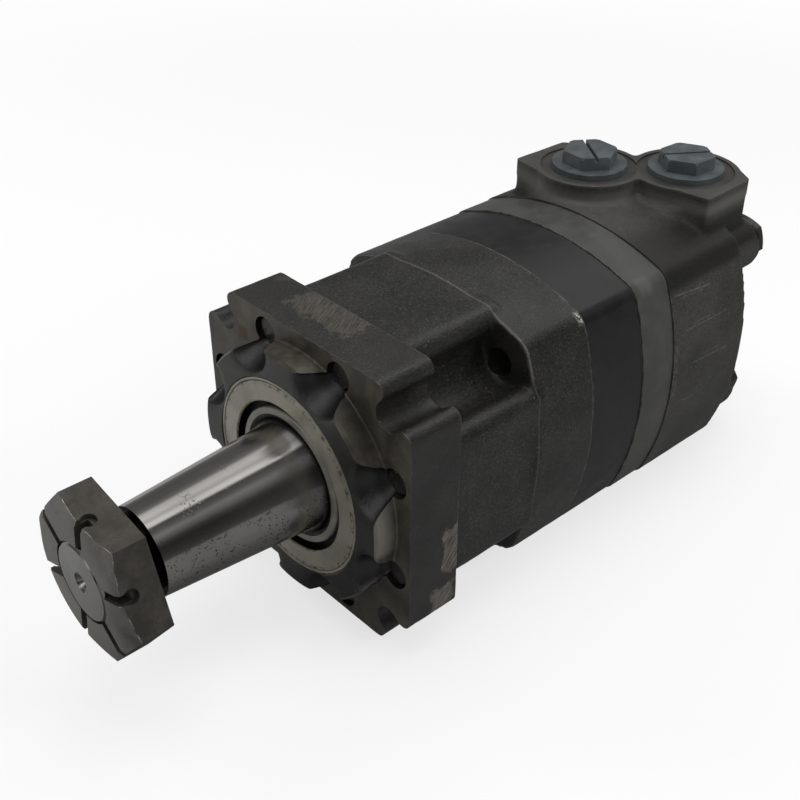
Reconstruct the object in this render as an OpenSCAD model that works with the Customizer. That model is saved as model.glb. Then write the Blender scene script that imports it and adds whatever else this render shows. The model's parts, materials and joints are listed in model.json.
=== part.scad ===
// Orbital hydraulic motor with a tapered output shaft, disc valve and staggered top ports.
// The X axis is the shaft axis and +X points out along the shaft. +Z points up through the ports.
// The origin is the centre of the mounting face. All lengths are in millimetres.

/* [Mounting flange] */
// Half the width across the flats of the mounting plate
plate_half = 72; // [71:0.5:76]
// Thickness of the mounting plate
plate_t = 29; // [27:0.5:31]
// Radius of the pilot boss
pilot_r = 63.5; // [63:0.1:64]
// How far the pilot boss stands out of the mounting face
pilot_h = 12.3; // [11.8:0.1:13]
// Radius of the circle on which the corner slots lie
slot_circle_r = 81; // [80.5:0.1:82]
// Half the width of a corner slot
slot_r = 7.37; // [6.6:0.01:8]
// Radius of the rounded tips beside a corner slot
tip_r = 5; // [3:0.5:6]
// Radius of the circle on which the flange screws lie
screw_circle_r = 67; // [66.5:0.1:67.5]
// Radius of the hole round a flange screw head
screw_hole_r = 7.3; // [7:0.1:7.6]
// Radius of the open front part of the cast dish at each flange screw
dish_front_r = 14.5; // [13:0.1:15]
// Radius of the deep rear part of that dish
dish_rear_r = 9.6; // [8:0.1:10]

/* [Bearing housing] */
// Half the width across the flats of the neck
neck_half = 70.4; // [69:0.1:70.8]
// Half the length of a flat of the neck, up to its rounded lip
neck_flat = 33; // [32:0.5:34]
// Radius at which the floor of a corner valley lies
valley_floor_r = 56; // [55:0.5:58]
// Radius of the lip beside a corner valley
valley_lip_r = 7; // [6:0.5:8]
// Length of the neck
neck_len = 51; // [49:0.5:53]
// Length of the full shoulder behind the neck
shoulder_len = 39; // [38:0.5:41]

/* [Body sections] */
// Reach of the body from the axis to the middle of a side
body_reach = 72.3; // [71:0.1:74]
// Radius of the bulged sides
side_bulge_r = 150; // [140:5:180]
// Radius of the rounded corners
corner_r = 10; // [8:0.5:12]
// Width of the roller ring
ring_w = 37.5; // [36:0.5:38]
// Thickness of the valve plate
valve_plate_t = 24; // [23:0.5:25]
// Length of the square part of the valve housing
valve_block_len = 61.5; // [60:0.5:63]
// Length of the round rear drum
drum_len = 35; // [34:0.5:36]
// Radius of the round rear drum
drum_r = 49; // [48:0.5:50]

/* [Ports] */
// Height of the port face above the axis
port_z = 84; // [83:0.5:86]
// Distance between the ports along the shaft axis
port_pitch_x = 34; // [33:0.1:35]
// Distance between the ports across the shaft axis
port_pitch_y = 38; // [37:0.5:39]
// Radius of the port hole
port_r = 15.5; // [14:0.1:16]
// Radius of the machined spotface round each port
spotface_r = 26; // [25.8:0.1:26.5]
// Radius of the round lobes of the port boss
lobe_r = 29; // [28:0.5:30]

/* [Output shaft] */
// Radius of the seal journal
journal_r = 28.575; // [28.5:0.005:28.6]
// Radius of the taper at its large end
taper_r = 26.4; // [26:0.1:26.8]
// Taper on diameter per unit of length
taper_rate = 0.125; // [0.12:0.001:0.13]
// Distance from the mounting face to the shaft end
shaft_end_x = 118.2; // [117:0.1:120]
// Radius of the shaft thread
thread_r = 19.05; // [18.5:0.05:19.1]
// Width across the flats of the shaft nut
nut_af = 69.8; // [68:0.2:72]
// Height of the shaft nut
nut_h = 18.9; // [18:0.1:20]

/* [Roller gear set] */
// Number of rollers in the ring
roller_count = 9; // [9:1:9]
// Radius of a roller
roller_r = 8; // [7.8:0.1:8]
// Radius of the circle on which the roller centres lie
roller_circle_r = 46; // [45.8:0.1:46.2]
// Distance between the star centre and the ring centre
eccentricity = 3; // [2.8:0.1:3]

/* [Fasteners] */
// Radius of the circle on which the tie bolts lie
bolt_circle_r = 64; // [63.8:0.1:64.2]
// Radius of a tie bolt shank
bolt_r = 5.6; // [5:0.1:5.8]
// Width across the flats of a tie bolt head
bolt_af = 22; // [21:0.5:24]
// Radius of a flange screw shank
screw_r = 4; // [3.5:0.1:4]
// Width across the flats of a flange screw head
screw_af = 11.6; // [11:0.1:12]

/* [Hidden] */
$fn = 96;

// Gap between parts that are pressed or slid together
fit = 0.05;
// Gap between flat faces that run on each other
face_gap = 0.1;
// How far a cutting shape runs past the face that it cuts
past = 1;

// Where the sections meet along the axis
neck_x = -plate_t;
shoulder_x = neck_x - neck_len;
ring_x = shoulder_x - shoulder_len;
plate_x = ring_x - ring_w;
block_x = plate_x - valve_plate_t;
drum_x = block_x - valve_block_len;
rear_x = drum_x - drum_len;

// Sections behind the ring are cast a little larger
valve_plate_reach = body_reach + 0.7;
valve_block_reach = body_reach + 1.5;

// The walls of a corner slot stand a little inside its round end, so that they meet in an edge
slot_side = slot_r - 0.05;

// Cast dishes: the front and rear spheres as [x, distance from the axis], and how far out they reach
dish_front = [14, 66];
dish_rear = [2.5, 66.5];
dish_reach = 64.5;
pilot_chamfer = 1.4;
pilot_root_r = 40;

// Flange screws: the hole's floor, the head and the shank, each head turned a little further
screw_seat_x = -7.8;
screw_head_h = 5.8;
screw_depth = 20;
screw_step = 17;

// Bores of the bearing housing and of what sits in them
carrier_r = 49.6;
carrier_front_x = 12;
front_cup_r = 47.5;
front_cup_x = neck_x - 3;
rear_cup_r = 50;
wear_plate_r = 54.2;
wear_plate_t = 6;
wear_plate_hole_r = 21.5;
rear_cup_x = ring_x + wear_plate_t;
chamber_r = 42;
chamber_relief_r = 45.5;
chamber_relief_len = 6;
bolt_pocket_r = 7.2;
bolt_pocket_depth = 5;
seal_groove_r = 56.2;
seal_groove_half = 1.3;
seal_groove_depth = 1.9;
seal_section_r = 0.93;

// Bearing sizes, mean roller circle first
bearing_t = 23;
cup_t = 17.5;
front_bearing = [38.6, 30, front_cup_r];
rear_bearing = [41.2, 32.5, rear_cup_r];
bearing_roller_small_r = 3.5;
bearing_roller_large_r = 4.3;
bearing_roller_len = 15;
bearing_tilt = 11;
bearing_mid_x = -bearing_t / 2 + 2.2;
bearing_roller_count = 20;
bearing_play = 0.06;
cage_half_t = 0.9;
cage_rim = 1.4;
cage_play = 0.3;
cone_rib_h = 2.4;
cone_rib_x = -17.84;
cone_relief = 0.9;
cone_lip_h = 0.7;
cone_lip_x = -2.2;
shaft_shoulder_r = 35;

// Splines: teeth, root radius, tip radius, half tooth at the root, half tooth at the tip
spline_teeth = 12;
drive_spline = [16, 20, 2.9, 1.6];
valve_spline = [11.5, 15, 2.1, 1.2];
spline_play = 0.35;
spline_slices = 5;

// Where the drives bear, on the axis or on the star's centre
main_drive_front_x = -78;
main_drive_rear_x = ring_x - 11;
main_head_half = 7.4;
valve_drive_front_x = plate_x + 9;
valve_drive_rear_x = block_x - 9.5;
valve_head_half = 5.6;
main_waist_r = 12.5;
valve_waist_r = 9.5;
drive_neck_r = 15;
main_tilt = atan(eccentricity / (main_drive_front_x - main_drive_rear_x));
valve_tilt = atan(eccentricity / (valve_drive_front_x - valve_drive_rear_x));
spacer_x = main_drive_rear_x - main_head_half - 0.6;
spacer_t = 2.2;
spacer_r = 9;

plate_hole_r = 22;
passage_circle_r = 38;
plate_passage_r = 3.6;

star_lobes = roller_count - 1;
star_play = 0.3;
ring_inner_r = roller_circle_r - 1.2;

// Valve parts
disc_x = block_x - face_gap;
disc_t = 19.5;
disc_r = 44;
disc_pocket_r = 3.4;
disc_pocket_depth = 12;
disc_pocket_circle_r = 37;
disc_through_circle_r = 34;
disc_rim_slot = [9, 14, 5];
disc_hollow = [27, 38];
valve_chamber_r = 45.5;
balance_x = disc_x - disc_t - 0.2;
balance_t = 11;
balance_r = 40;
chamber_step_x = disc_x - disc_t - 2.5;
chamber_end_x = balance_x - balance_t - 4;
passage_r = 18;
rear_wall = 12;

// Ports and their plugs
port_mid_x = -230;
port_a = [port_mid_x + port_pitch_x / 2, -port_pitch_y / 2];
port_b = [port_mid_x - port_pitch_x / 2, port_pitch_y / 2];
port_a_bottom_z = 28;
port_b_bottom_z = 5;
spotface_depth = 0.8;
plug_flange_r = 20;
plug_hex_r = 15;

plug_depth = 18;
plug_wall = 3;
plug_flange_t = 3;
plug_hex_h = 10;
plug_slot = [1.8, 2.5];
plug_seal_r = 0.95;
port_seat = [1.7, 2.6];

// Case drain below the shaft axis
drain_z = -28;
drain_r = 9;
drain_depth = 16;
drain_plug = [0.6, 12];
drain_hex_r = 4.6;
drain_hex_depth = 6;

// Bosses that the tie bolts' heads sit on, and the heads
boss_r = 15;
boss_len = 23;
bolt_collar_r = 14.2;
bolt_collar_t = 2.4;
bolt_head_h = 8;
bolt_play = 0.6;

// Turns a shape drawn in Y and Z and extruded upwards to lie along +X from x0
module along_shaft(x0) {
    translate([x0, 0, 0]) rotate([90, 0, 90]) children();
}

// A round bar along the shaft axis from x0 to x1
module bar(x0, x1, r) {
    along_shaft(min(x0, x1)) cylinder(h = abs(x1 - x0), r = r);
}

// A round bar that changes radius from r0 at x0 to r1 at x1, with x0 below x1
module tapered_bar(x0, x1, r0, r1) {
    along_shaft(x0) cylinder(h = x1 - x0, r1 = r0, r2 = r1);
}

// A plain ring along the shaft axis
module ring(x0, x1, outer, inner) {
    difference() {
        bar(x0, x1, outer);
        bar(min(x0, x1) - past, max(x0, x1) + past, inner);
    }
}

// A body of revolution about the shaft axis from points given as [x, radius]
module turned(points) {
    rotate([90, 0, 90]) rotate_extrude() polygon([for (p = points) [p[1], p[0]]]);
}

// A round-section ring about the shaft axis
module round_seal(x, r, section) {
    along_shaft(x) rotate_extrude() translate([r, 0]) circle(r = section, $fn = 24);
}

// Repeats its children round the shaft axis, the first at angle start from +Y
module around(count, start = 0) {
    for (i = [0 : count - 1]) rotate([start + i * 360 / count, 0, 0]) children();
}

// Points on an arc from angle a0 to a1
function arc(c, r, a0, a1, steps) =
    [for (i = [0 : steps]) let (a = a0 + (a1 - a0) * i / steps) [c[0] + r * cos(a), c[1] + r * sin(a)]];

function turn(p, a) = [p[0] * cos(a) - p[1] * sin(a), p[0] * sin(a) + p[1] * cos(a)];

// Repeats the outline of one quarter round the centre
function four_ways(quarter) = [for (q = [0 : 3]) for (p = quarter) turn(p, 90 * q)];

// Outline of the body: four bulged sides and four rounded corners
function corner_centre(reach) =
    let (off = side_bulge_r - reach, inner = side_bulge_r - corner_r)
    (-off + sqrt(2 * inner * inner - off * off)) / 2;

function body_outline(reach) =
    let (off = side_bulge_r - reach, c = corner_centre(reach), a = atan2(c, c + off))
    four_ways(concat(
        arc([-off, 0], side_bulge_r, -a, a, 12),
        [for (i = [1 : 6]) arc([c, c], corner_r, a, 90 - a, 7)[i]]));

// Outline of the mounting plate: flats, rounded tips and the walls of an open slot at each corner
function plate_outline() =
    let (s = slot_circle_r / sqrt(2),
         c = plate_half - tip_r,
         t = c - (slot_side + tip_r) * sqrt(2),
         w = slot_side / sqrt(2))
    four_ways(concat(
        arc([c, t], tip_r, 0, 135, 8),
        [[s + w, s - w], [s - w, s + w]],
        arc([t, c], tip_r, -45, 90, 8)));

// Outline of the neck: flats with a rounded valley at each corner
function neck_outline() =
    let (a = neck_half - valley_lip_r, w = neck_flat, l = valley_lip_r, d = valley_floor_r,
         k = sqrt(2) * (a + w),
         r = (l * l - a * a - w * w - d * d + k * d) / (2 * d - k - 2 * l),
         v = (d + r) / sqrt(2),
         q = atan2(v - w, v - a))
    four_ways(concat(
        arc([a, w], l, 0, q, 8),
        arc([v, v], r, q - 180, -90 - q, 16),
        arc([w, a], l, 90 - q, 90, 8)));

// Tooth outline shared by the splines, grown or shrunk by a gap on every face
function spline_outline(s, gap) =
    [for (i = [0 : spline_teeth - 1])
        let (a = i * 360 / spline_teeth)
        for (p = [[s[0] + gap, -s[2] - gap], [s[1] + gap, -s[3] - gap],
                  [s[1] + gap, s[3] + gap], [s[0] + gap, s[2] + gap]]) turn(p, a)];

// A crowned spline head, thinner towards its ends so that it can tilt in its socket
module spline_head(x, half, s, tilt) {
    w = 2 * half / spline_slices;
    for (i = [0 : spline_slices - 1]) {
        x0 = -half + i * w;
        reach = max(abs(x0), abs(x0 + w));
        along_shaft(x + x0) linear_extrude(w) polygon(spline_outline(s, -reach * tan(tilt)));
    }
}

module spline_socket(x0, x1, s) {
    along_shaft(x0) linear_extrude(x1 - x0) polygon(spline_outline(s, spline_play));
}

// Star profile: the curve that rollers on an eccentric circle leave, moved in by the roller radius
function star_point(a) =
    let (m = star_lobes + 1,
         p = [roller_circle_r * cos(a) - eccentricity * cos(m * a),
              roller_circle_r * sin(a) - eccentricity * sin(m * a)],
         t = [-roller_circle_r * sin(a) + m * eccentricity * sin(m * a),
              roller_circle_r * cos(a) - m * eccentricity * cos(m * a)],
         r = roller_r + star_play)
    [p[0] - r * t[1] / norm(t), p[1] + r * t[0] / norm(t)];

// Mounting flange
module screw_places() {
    around(8, 22.5) translate([0, screw_circle_r, 0]) children();
}

// The cast dishes in the pilot boss, open to its front and to its rim
module dishes() {
    intersection() {
        bar(-dish_rear_r, pilot_h + past, dish_reach);
        around(8, 22.5) {
            translate([dish_front[0], dish_front[1], 0]) sphere(r = dish_front_r);
            translate([dish_rear[0], dish_rear[1], 0]) sphere(r = dish_rear_r);
        }
    }
}

module mounting_flange() {
    color("#6f6a60") difference() {
        union() {
            along_shaft(neck_x) linear_extrude(plate_t) polygon(plate_outline());
            turned([
                [-past, pilot_root_r], [-past, pilot_r], [pilot_h - pilot_chamfer, pilot_r],
                [pilot_h, pilot_r - pilot_chamfer], [pilot_h, pilot_root_r]]);
        }
        bar(neck_x - past, pilot_h + past, carrier_r + 0.25);
        dishes();
        around(4, 45) translate([0, slot_circle_r, 0]) bar(neck_x - past, past, slot_r);
        screw_places() {
            bar(screw_seat_x, pilot_h + past, screw_hole_r);
            bar(neck_x - past, 0, screw_r + 0.3);
        }
    }
}

// A hexagon head screw with its corners chamfered
module flange_screw() {
    corner_r = screw_af / sqrt(3);
    top_x = screw_seat_x + screw_head_h;
    union() {
        intersection() {
            along_shaft(screw_seat_x + 0.02) cylinder(h = screw_head_h, r = corner_r, $fn = 6);
            tapered_bar(screw_seat_x, top_x, corner_r + screw_head_h * sqrt(3) - 0.7, corner_r - 0.7);
        }
        bar(neck_x - screw_depth, screw_seat_x + past, screw_r);
    }
}

module flange_screws() {
    color("#5d6064") for (i = [0 : 7])
        rotate([22.5 + 45 * i, 0, 0]) translate([0, screw_circle_r, 0])
            rotate([screw_step * i, 0, 0]) flange_screw();
}

// Bearing housing
module bolt_places() {
    around(4, 45) translate([0, bolt_circle_r, 0]) children();
}

module bearing_housing() {
    color("#5a5650") difference() {
        union() {
            along_shaft(shoulder_x - past) linear_extrude(neck_len + past) polygon(neck_outline());
            along_shaft(ring_x) linear_extrude(shoulder_len) polygon(body_outline(body_reach));
        }
        bar(front_cup_x - cup_t - fit, neck_x + past, front_cup_r + fit);
        bar(rear_cup_x, front_cup_x - past, chamber_r);
        bar(rear_cup_x, rear_cup_x + cup_t + chamber_relief_len, chamber_relief_r);
        bar(ring_x - past, rear_cup_x + cup_t + fit, rear_cup_r + fit);
        bar(ring_x - past, rear_cup_x, wear_plate_r + fit);
        screw_places() bar(neck_x - screw_depth - 4, neck_x + past, screw_r + fit);
        bolt_places() {
            bar(ring_x - past, shoulder_x + past, bolt_r + fit);
            bar(shoulder_x - bolt_pocket_depth, shoulder_x + past, bolt_pocket_r);
        }
    }
}

// Seal carrier with the seals that it holds
module seal_carrier() {
    color("#b0aa9c") turned([
        [front_cup_x + 0.1, 40], [front_cup_x + 0.1, front_cup_r - 0.2], [neck_x, front_cup_r - 0.2],
        [neck_x, carrier_r], [-21.6, carrier_r], [-21.6, 47], [-18.4, 47], [-18.4, carrier_r],
        [carrier_front_x - 0.6, carrier_r], [carrier_front_x, carrier_r - 0.6],
        [carrier_front_x, 38.4], [carrier_front_x - 0.6, 37.8], [7, 37.8], [7, 34.6], [3, 34.6],
        [3, 31.5], [-3, 31.5],
        [-3, 36.2], [-17, 36.2], [-17, 40]]);
}

module carrier_oring() {
    color("#202020") round_seal(-20, 48.5, 1.3);
}

module dust_seal_case() {
    color("#9c9a94") turned([
        [3.1, 31.6], [3.1, 34.5], [10.1, 34.5], [10.4, 34.2], [10.4, 30.9], [9.6, 30.9],
        [9.6, 33.6], [4.1, 33.6], [4.1, 31.6]]);
}

module dust_seal_lip() {
    color("#1b1b1b") turned([
        [4.2, 31.8], [4.2, 33.5], [9.5, 33.5], [9.5, 30.8], [10.3, 30.8], [10, 29.6],
        [9.2, journal_r + 0.08], [8.4, journal_r + 0.08], [7.6, 30.4], [5.4, 31.2]]);
}

module shaft_seal() {
    color("#242424") turned([
        [-14.9, 29.8], [-14.9, 36.1], [-3.1, 36.1], [-3.1, 33.8], [-10.5, 33.8], [-10.5, 31.4],
        [-6, 30.6], [-4.6, journal_r + 0.08], [-6, journal_r + 0.08], [-11, 29.8]]);
}

module seal_backup_washer() {
    color("#8c8c88") ring(-16.9, -15, 36.1, 30.3);
}

// Tapered roller bearings, drawn with their small ends towards +X and the cup's back face at x = 0
function roller_edge(rm, t, r, side) =
    let (c = cos(bearing_tilt), s = sin(bearing_tilt), mx = bearing_mid_x)
    [mx + t * c + side * r * s, rm - t * s + side * r * c];

function small_edge(rm, side, play) =
    roller_edge(rm, bearing_roller_len / 2, bearing_roller_small_r + play, side);

function large_edge(rm, side, play) =
    roller_edge(rm, -bearing_roller_len / 2, bearing_roller_large_r + play, side);

// Follows the line through two profile points to the place x
function along_line(p, q, x) = [x, p[1] + (q[1] - p[1]) * (x - p[0]) / (q[0] - p[0])];

module bearing_cup(b) {
    lo = large_edge(b[0], 1, bearing_play);
    hi = small_edge(b[0], 1, bearing_play);
    turned([along_line(lo, hi, -cup_t), [-cup_t, b[2]], [0, b[2]], along_line(lo, hi, 0)]);
}

module bearing_cone(b) {
    lo = large_edge(b[0], -1, bearing_play);
    hi = small_edge(b[0], -1, bearing_play);
    groove_r = lo[1] - 0.6;
    turned([
        [-bearing_t, b[1] + fit], [-bearing_t, lo[1] + cone_rib_h], [cone_rib_x, lo[1] + cone_rib_h],
        [cone_rib_x, groove_r], [cone_rib_x + cone_relief, groove_r],
        along_line(lo, hi, cone_rib_x + cone_relief), along_line(lo, hi, cone_lip_x),
        [cone_lip_x, hi[1] + cone_lip_h], [0, hi[1] + cone_lip_h], [0, b[1] + fit]]);
}

module bearing_roller_set(b, grow) {
    c = [bearing_mid_x, b[0], 0];
    around(bearing_roller_count) translate(c) rotate([0, 0, -bearing_tilt])
        tapered_bar(-bearing_roller_len / 2 - grow, bearing_roller_len / 2 + grow,
            bearing_roller_large_r + grow, bearing_roller_small_r + grow);
}

module bearing_cage(b) {
    half = bearing_roller_len / 2 + cage_rim;
    difference() {
        turned([
            roller_edge(b[0], -half, cage_half_t, -1), roller_edge(b[0], -half, cage_half_t, 1),
            roller_edge(b[0], half, cage_half_t, 1), roller_edge(b[0], half, cage_half_t, -1)]);
        bearing_roller_set(b, cage_play);
    }
}

module at_front_bearing() {
    translate([front_cup_x, 0, 0]) children();
}

module at_rear_bearing() {
    translate([rear_cup_x, 0, 0]) mirror([1, 0, 0]) children();
}

module front_bearing_cup() { color("#a9aaa8") at_front_bearing() bearing_cup(front_bearing); }
module rear_bearing_cup() { color("#a9aaa8") at_rear_bearing() bearing_cup(rear_bearing); }
module front_bearing_cone() { color("#b4b5b2") at_front_bearing() bearing_cone(front_bearing); }
module rear_bearing_cone() { color("#b4b5b2") at_rear_bearing() bearing_cone(rear_bearing); }
module front_bearing_rollers() {
    color("#c4c5c2") at_front_bearing() bearing_roller_set(front_bearing, 0);
}
module rear_bearing_rollers() {
    color("#c4c5c2") at_rear_bearing() bearing_roller_set(rear_bearing, 0);
}
module front_bearing_cage() { color("#8f8a7c") at_front_bearing() bearing_cage(front_bearing); }
module rear_bearing_cage() { color("#8f8a7c") at_rear_bearing() bearing_cage(rear_bearing); }

module wear_plate() {
    color("#8b8c8a") ring(ring_x, rear_cup_x - 0.02, wear_plate_r, wear_plate_hole_r);
}

// Roller gear set
module seal_groove(x) {
    ring(x - seal_groove_depth, x + seal_groove_depth,
        seal_groove_r + seal_groove_half, seal_groove_r - seal_groove_half);
}

module bolt_holes(x0, x1) {
    bolt_places() bar(x0 - past, x1 + past, bolt_r + bolt_play);
}

module geroler_ring() {
    color("#2b2c2e") difference() {
        along_shaft(plate_x) linear_extrude(ring_w) polygon(body_outline(body_reach));
        bar(plate_x - past, ring_x + past, ring_inner_r);
        around(roller_count) translate([0, roller_circle_r, 0])
            bar(plate_x - past, ring_x + past, roller_r + fit);
        seal_groove(ring_x);
        seal_groove(plate_x);
        bolt_holes(plate_x, ring_x);
    }
}

module geroler_roller(i) {
    color("#c9cac8") rotate([(i - 1) * 360 / roller_count, 0, 0]) translate([0, roller_circle_r, 0])
        bar(plate_x + face_gap, ring_x - face_gap, roller_r);
}

module geroler_star() {
    color("#b9bab6") translate([0, eccentricity, 0]) difference() {
        along_shaft(plate_x + face_gap) linear_extrude(ring_w - 2 * face_gap)
            polygon([for (i = [0 : star_lobes * 24 - 1]) star_point(i * 360 / (star_lobes * 24))]);
        spline_socket(plate_x - past, ring_x + past, drive_spline);
    }
}

module face_seal(x) {
    color("#1f1f1f") round_seal(x, seal_groove_r, seal_section_r);
}

module front_section_seal() { face_seal(ring_x - seal_section_r - 0.02); }
module rear_section_seal() { face_seal(plate_x + seal_section_r + 0.02); }

// Drives
module main_drive() {
    length = norm([main_drive_front_x - main_drive_rear_x, eccentricity]);
    color("#a3a4a0") translate([main_drive_front_x, 0, 0]) rotate([0, 0, -main_tilt]) union() {
        spline_head(0, main_head_half, drive_spline, main_tilt);
        bar(-length, 0, main_waist_r);
        tapered_bar(-main_head_half - 4, -main_head_half + 0.5, main_waist_r, drive_neck_r);
        tapered_bar(-length + main_head_half - 0.5, -length + main_head_half + 4, drive_neck_r, main_waist_r);
        spline_head(-length, main_head_half, drive_spline, main_tilt);
    }
}

module drive_spacer() {
    color("#8f9091") translate([0, eccentricity, 0]) bar(spacer_x - spacer_t, spacer_x, spacer_r);
}

module valve_drive() {
    length = norm([valve_drive_front_x - valve_drive_rear_x, eccentricity]);
    color("#a3a4a0") translate([valve_drive_rear_x, 0, 0]) rotate([0, 0, valve_tilt]) union() {
        spline_head(0, valve_head_half, valve_spline, valve_tilt);
        bar(0, length, valve_waist_r);
        tapered_bar(length - valve_head_half - 4, length - valve_head_half + 0.5, valve_waist_r, drive_neck_r);
        spline_head(length, valve_head_half, drive_spline, valve_tilt);
    }
}

// Valve plate: a passage for each pocket between two rollers
module valve_plate() {
    color("#8a867c") difference() {
        along_shaft(block_x) linear_extrude(valve_plate_t) polygon(body_outline(valve_plate_reach));
        bar(block_x - past, plate_x + past, plate_hole_r);
        around(roller_count, 180 / roller_count) translate([0, passage_circle_r, 0])
            bar(block_x - past, plate_x + past, plate_passage_r);
        seal_groove(block_x);
        bolt_holes(block_x, plate_x);
    }
}

module valve_plate_seal() { face_seal(block_x + seal_section_r + 0.02); }

// Disc valve: slots open by turns to the rim and to the hollow behind
module disc_valve() {
    color("#b3b2ac") difference() {
        bar(disc_x - disc_t, disc_x, disc_r);
        spline_socket(disc_x - disc_t - past, disc_x + past, valve_spline);
        around(star_lobes) translate([disc_x - disc_pocket_depth, disc_pocket_circle_r, 0]) {
            bar(0, disc_pocket_depth + past, disc_pocket_r);
            translate([0, disc_rim_slot[1] / 2 - 3, 0]) cube(disc_rim_slot, center = true);
        }
        around(star_lobes, 180 / star_lobes) translate([0, disc_through_circle_r, 0])
            bar(disc_x - disc_t - past, disc_x + past, disc_pocket_r);
        turned([
            [disc_x - disc_t - past, disc_hollow[0]], [disc_x - disc_t - past, disc_hollow[1]],
            [disc_x - disc_t + 4, disc_hollow[1]], [disc_x - disc_t + 4, disc_hollow[0]]]);
    }
}

module balance_ring() {
    color("#9b9a94") turned([
        [balance_x, 22], [balance_x, balance_r], [balance_x - 4, balance_r],
        [balance_x - 4, balance_r - 2.4], [balance_x - 7, balance_r - 2.4], [balance_x - 7, balance_r],
        [balance_x - balance_t, balance_r], [balance_x - balance_t, 25], [balance_x - 7, 25],
        [balance_x - 7, 22]]);
}

module balance_ring_seals() {
    color("#1f1f1f") {
        round_seal(balance_x - 5.5, balance_r - 1.2, 1.1);
        ring(balance_x - balance_t, balance_x - 7.2, 24.9, 22.4);
    }
}

// Bias springs: three short helical springs that press the balance ring on the disc valve
spring_turns = 5;
spring_pocket = 6;
spring_pocket_r = 3.9;
spring_circle_r = 33;
spring_wire_r = 0.7;
spring_rise = balance_x - balance_t - chamber_end_x + spring_pocket - 2 * spring_wire_r - 0.1;
spring_r = 2.8;
spring_sides = 6;
spring_steps = 12;

function spring_point(k, j) =
    let (a = k * 360 / spring_steps,
         b = j * 360 / spring_sides)
    [(spring_r + spring_wire_r * cos(b)) * cos(a),
     (spring_r + spring_wire_r * cos(b)) * sin(a),
     spring_wire_r * sin(b) + spring_rise * k / (spring_turns * spring_steps)];

module bias_spring() {
    n = spring_turns * spring_steps;
    polyhedron(
        points = [for (k = [0 : n]) for (j = [0 : spring_sides - 1]) spring_point(k, j)],
        faces = concat(
            [[for (j = [spring_sides - 1 : -1 : 0]) j]],
            [for (k = [0 : n - 1]) for (j = [0 : spring_sides - 1])
                [k * spring_sides + j, k * spring_sides + (j + 1) % spring_sides,
                 (k + 1) * spring_sides + (j + 1) % spring_sides]],
            [for (k = [0 : n - 1]) for (j = [0 : spring_sides - 1])
                [k * spring_sides + j, (k + 1) * spring_sides + (j + 1) % spring_sides,
                 (k + 1) * spring_sides + j]],
            [[for (j = [0 : spring_sides - 1]) n * spring_sides + j]]));
}

module bias_springs() {
    color("#86888a") around(3, 30)
        translate([chamber_end_x - spring_pocket + spring_wire_r + 0.05, spring_circle_r, 0])
        rotate([0, 90, 0]) bias_spring();
}

// Valve housing: square block, round drum, bolt bosses and the port boss with its two lobes
module lobe_outline(p, outward) {
    translate(p) circle(r = lobe_r);
    translate(p) polygon([[0, 0], [lobe_r - 2.5, 0], [lobe_r - 2.5, outward * 8],
        [lobe_r - 6, outward * 32], [-14, outward * 31], [-22, outward * 18]]);
}

module port_lobe(p, outward) {
    translate([0, 0, 30]) linear_extrude(port_z - 30) lobe_outline(p, outward);
}

// A port hole with its spotface and the seat of its seal
module port_hole(p, bottom_z) {
    translate([p[0], p[1], bottom_z]) cylinder(h = port_z, r = port_r);
    translate([p[0], p[1], port_z - spotface_depth]) cylinder(h = 5, r = spotface_r);
    translate([p[0], p[1], port_z - spotface_depth - port_seat[1]]) cylinder(h = 5, r = port_r + port_seat[0]);
}

module valve_housing() {
    color("#6b665c") difference() {
        union() {
            along_shaft(drum_x) linear_extrude(valve_block_len) polygon(body_outline(valve_block_reach));
            bar(rear_x, drum_x + past, drum_r);
            bolt_places() bar(drum_x - boss_len, drum_x + past, boss_r);
            port_lobe(port_a, -1);
            port_lobe(port_b, 1);
        }
        bolt_places() {
            bar(drum_x - boss_len - past, block_x + past, bolt_r + bolt_play);
            bar(rear_x - past, drum_x - boss_len, boss_r + 0.5);
        }
        bar(chamber_step_x, block_x + past, valve_chamber_r);
        bar(chamber_end_x, chamber_step_x + past, balance_r + fit);
        bar(rear_x + rear_wall, chamber_end_x + past, passage_r);
        around(3, 30) translate([0, spring_circle_r, 0])
            bar(chamber_end_x - spring_pocket, chamber_end_x + past, spring_pocket_r);
        port_hole(port_a, port_a_bottom_z);
        port_hole(port_b, port_b_bottom_z);
        translate([0, 0, drain_z]) bar(rear_x - past, rear_x + drain_depth, drain_r);
    }
}

// Tie bolts from the rear of the valve housing into the shoulder of the bearing housing
module tie_bolt() {
    seat_x = drum_x - boss_len;
    head_x = seat_x - bolt_collar_t - bolt_head_h;
    union() {
        bar(seat_x - bolt_collar_t, seat_x - 0.02, bolt_collar_r);
        bar(seat_x - bolt_collar_t - past, shoulder_x - bolt_pocket_depth - past, bolt_r);
        difference() {
            along_shaft(head_x) cylinder(h = bolt_head_h + past / 2, r = bolt_af / sqrt(3), $fn = 6);
            turned([[head_x - past, bolt_af / 2 - past], [head_x + past, bolt_af / 2 + 3],
                [head_x - past, bolt_af / 2 + 3]]);
        }
    }
}

module tie_bolts() {
    color("#3b3c3e") bolt_places() tie_bolt();
}

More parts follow.
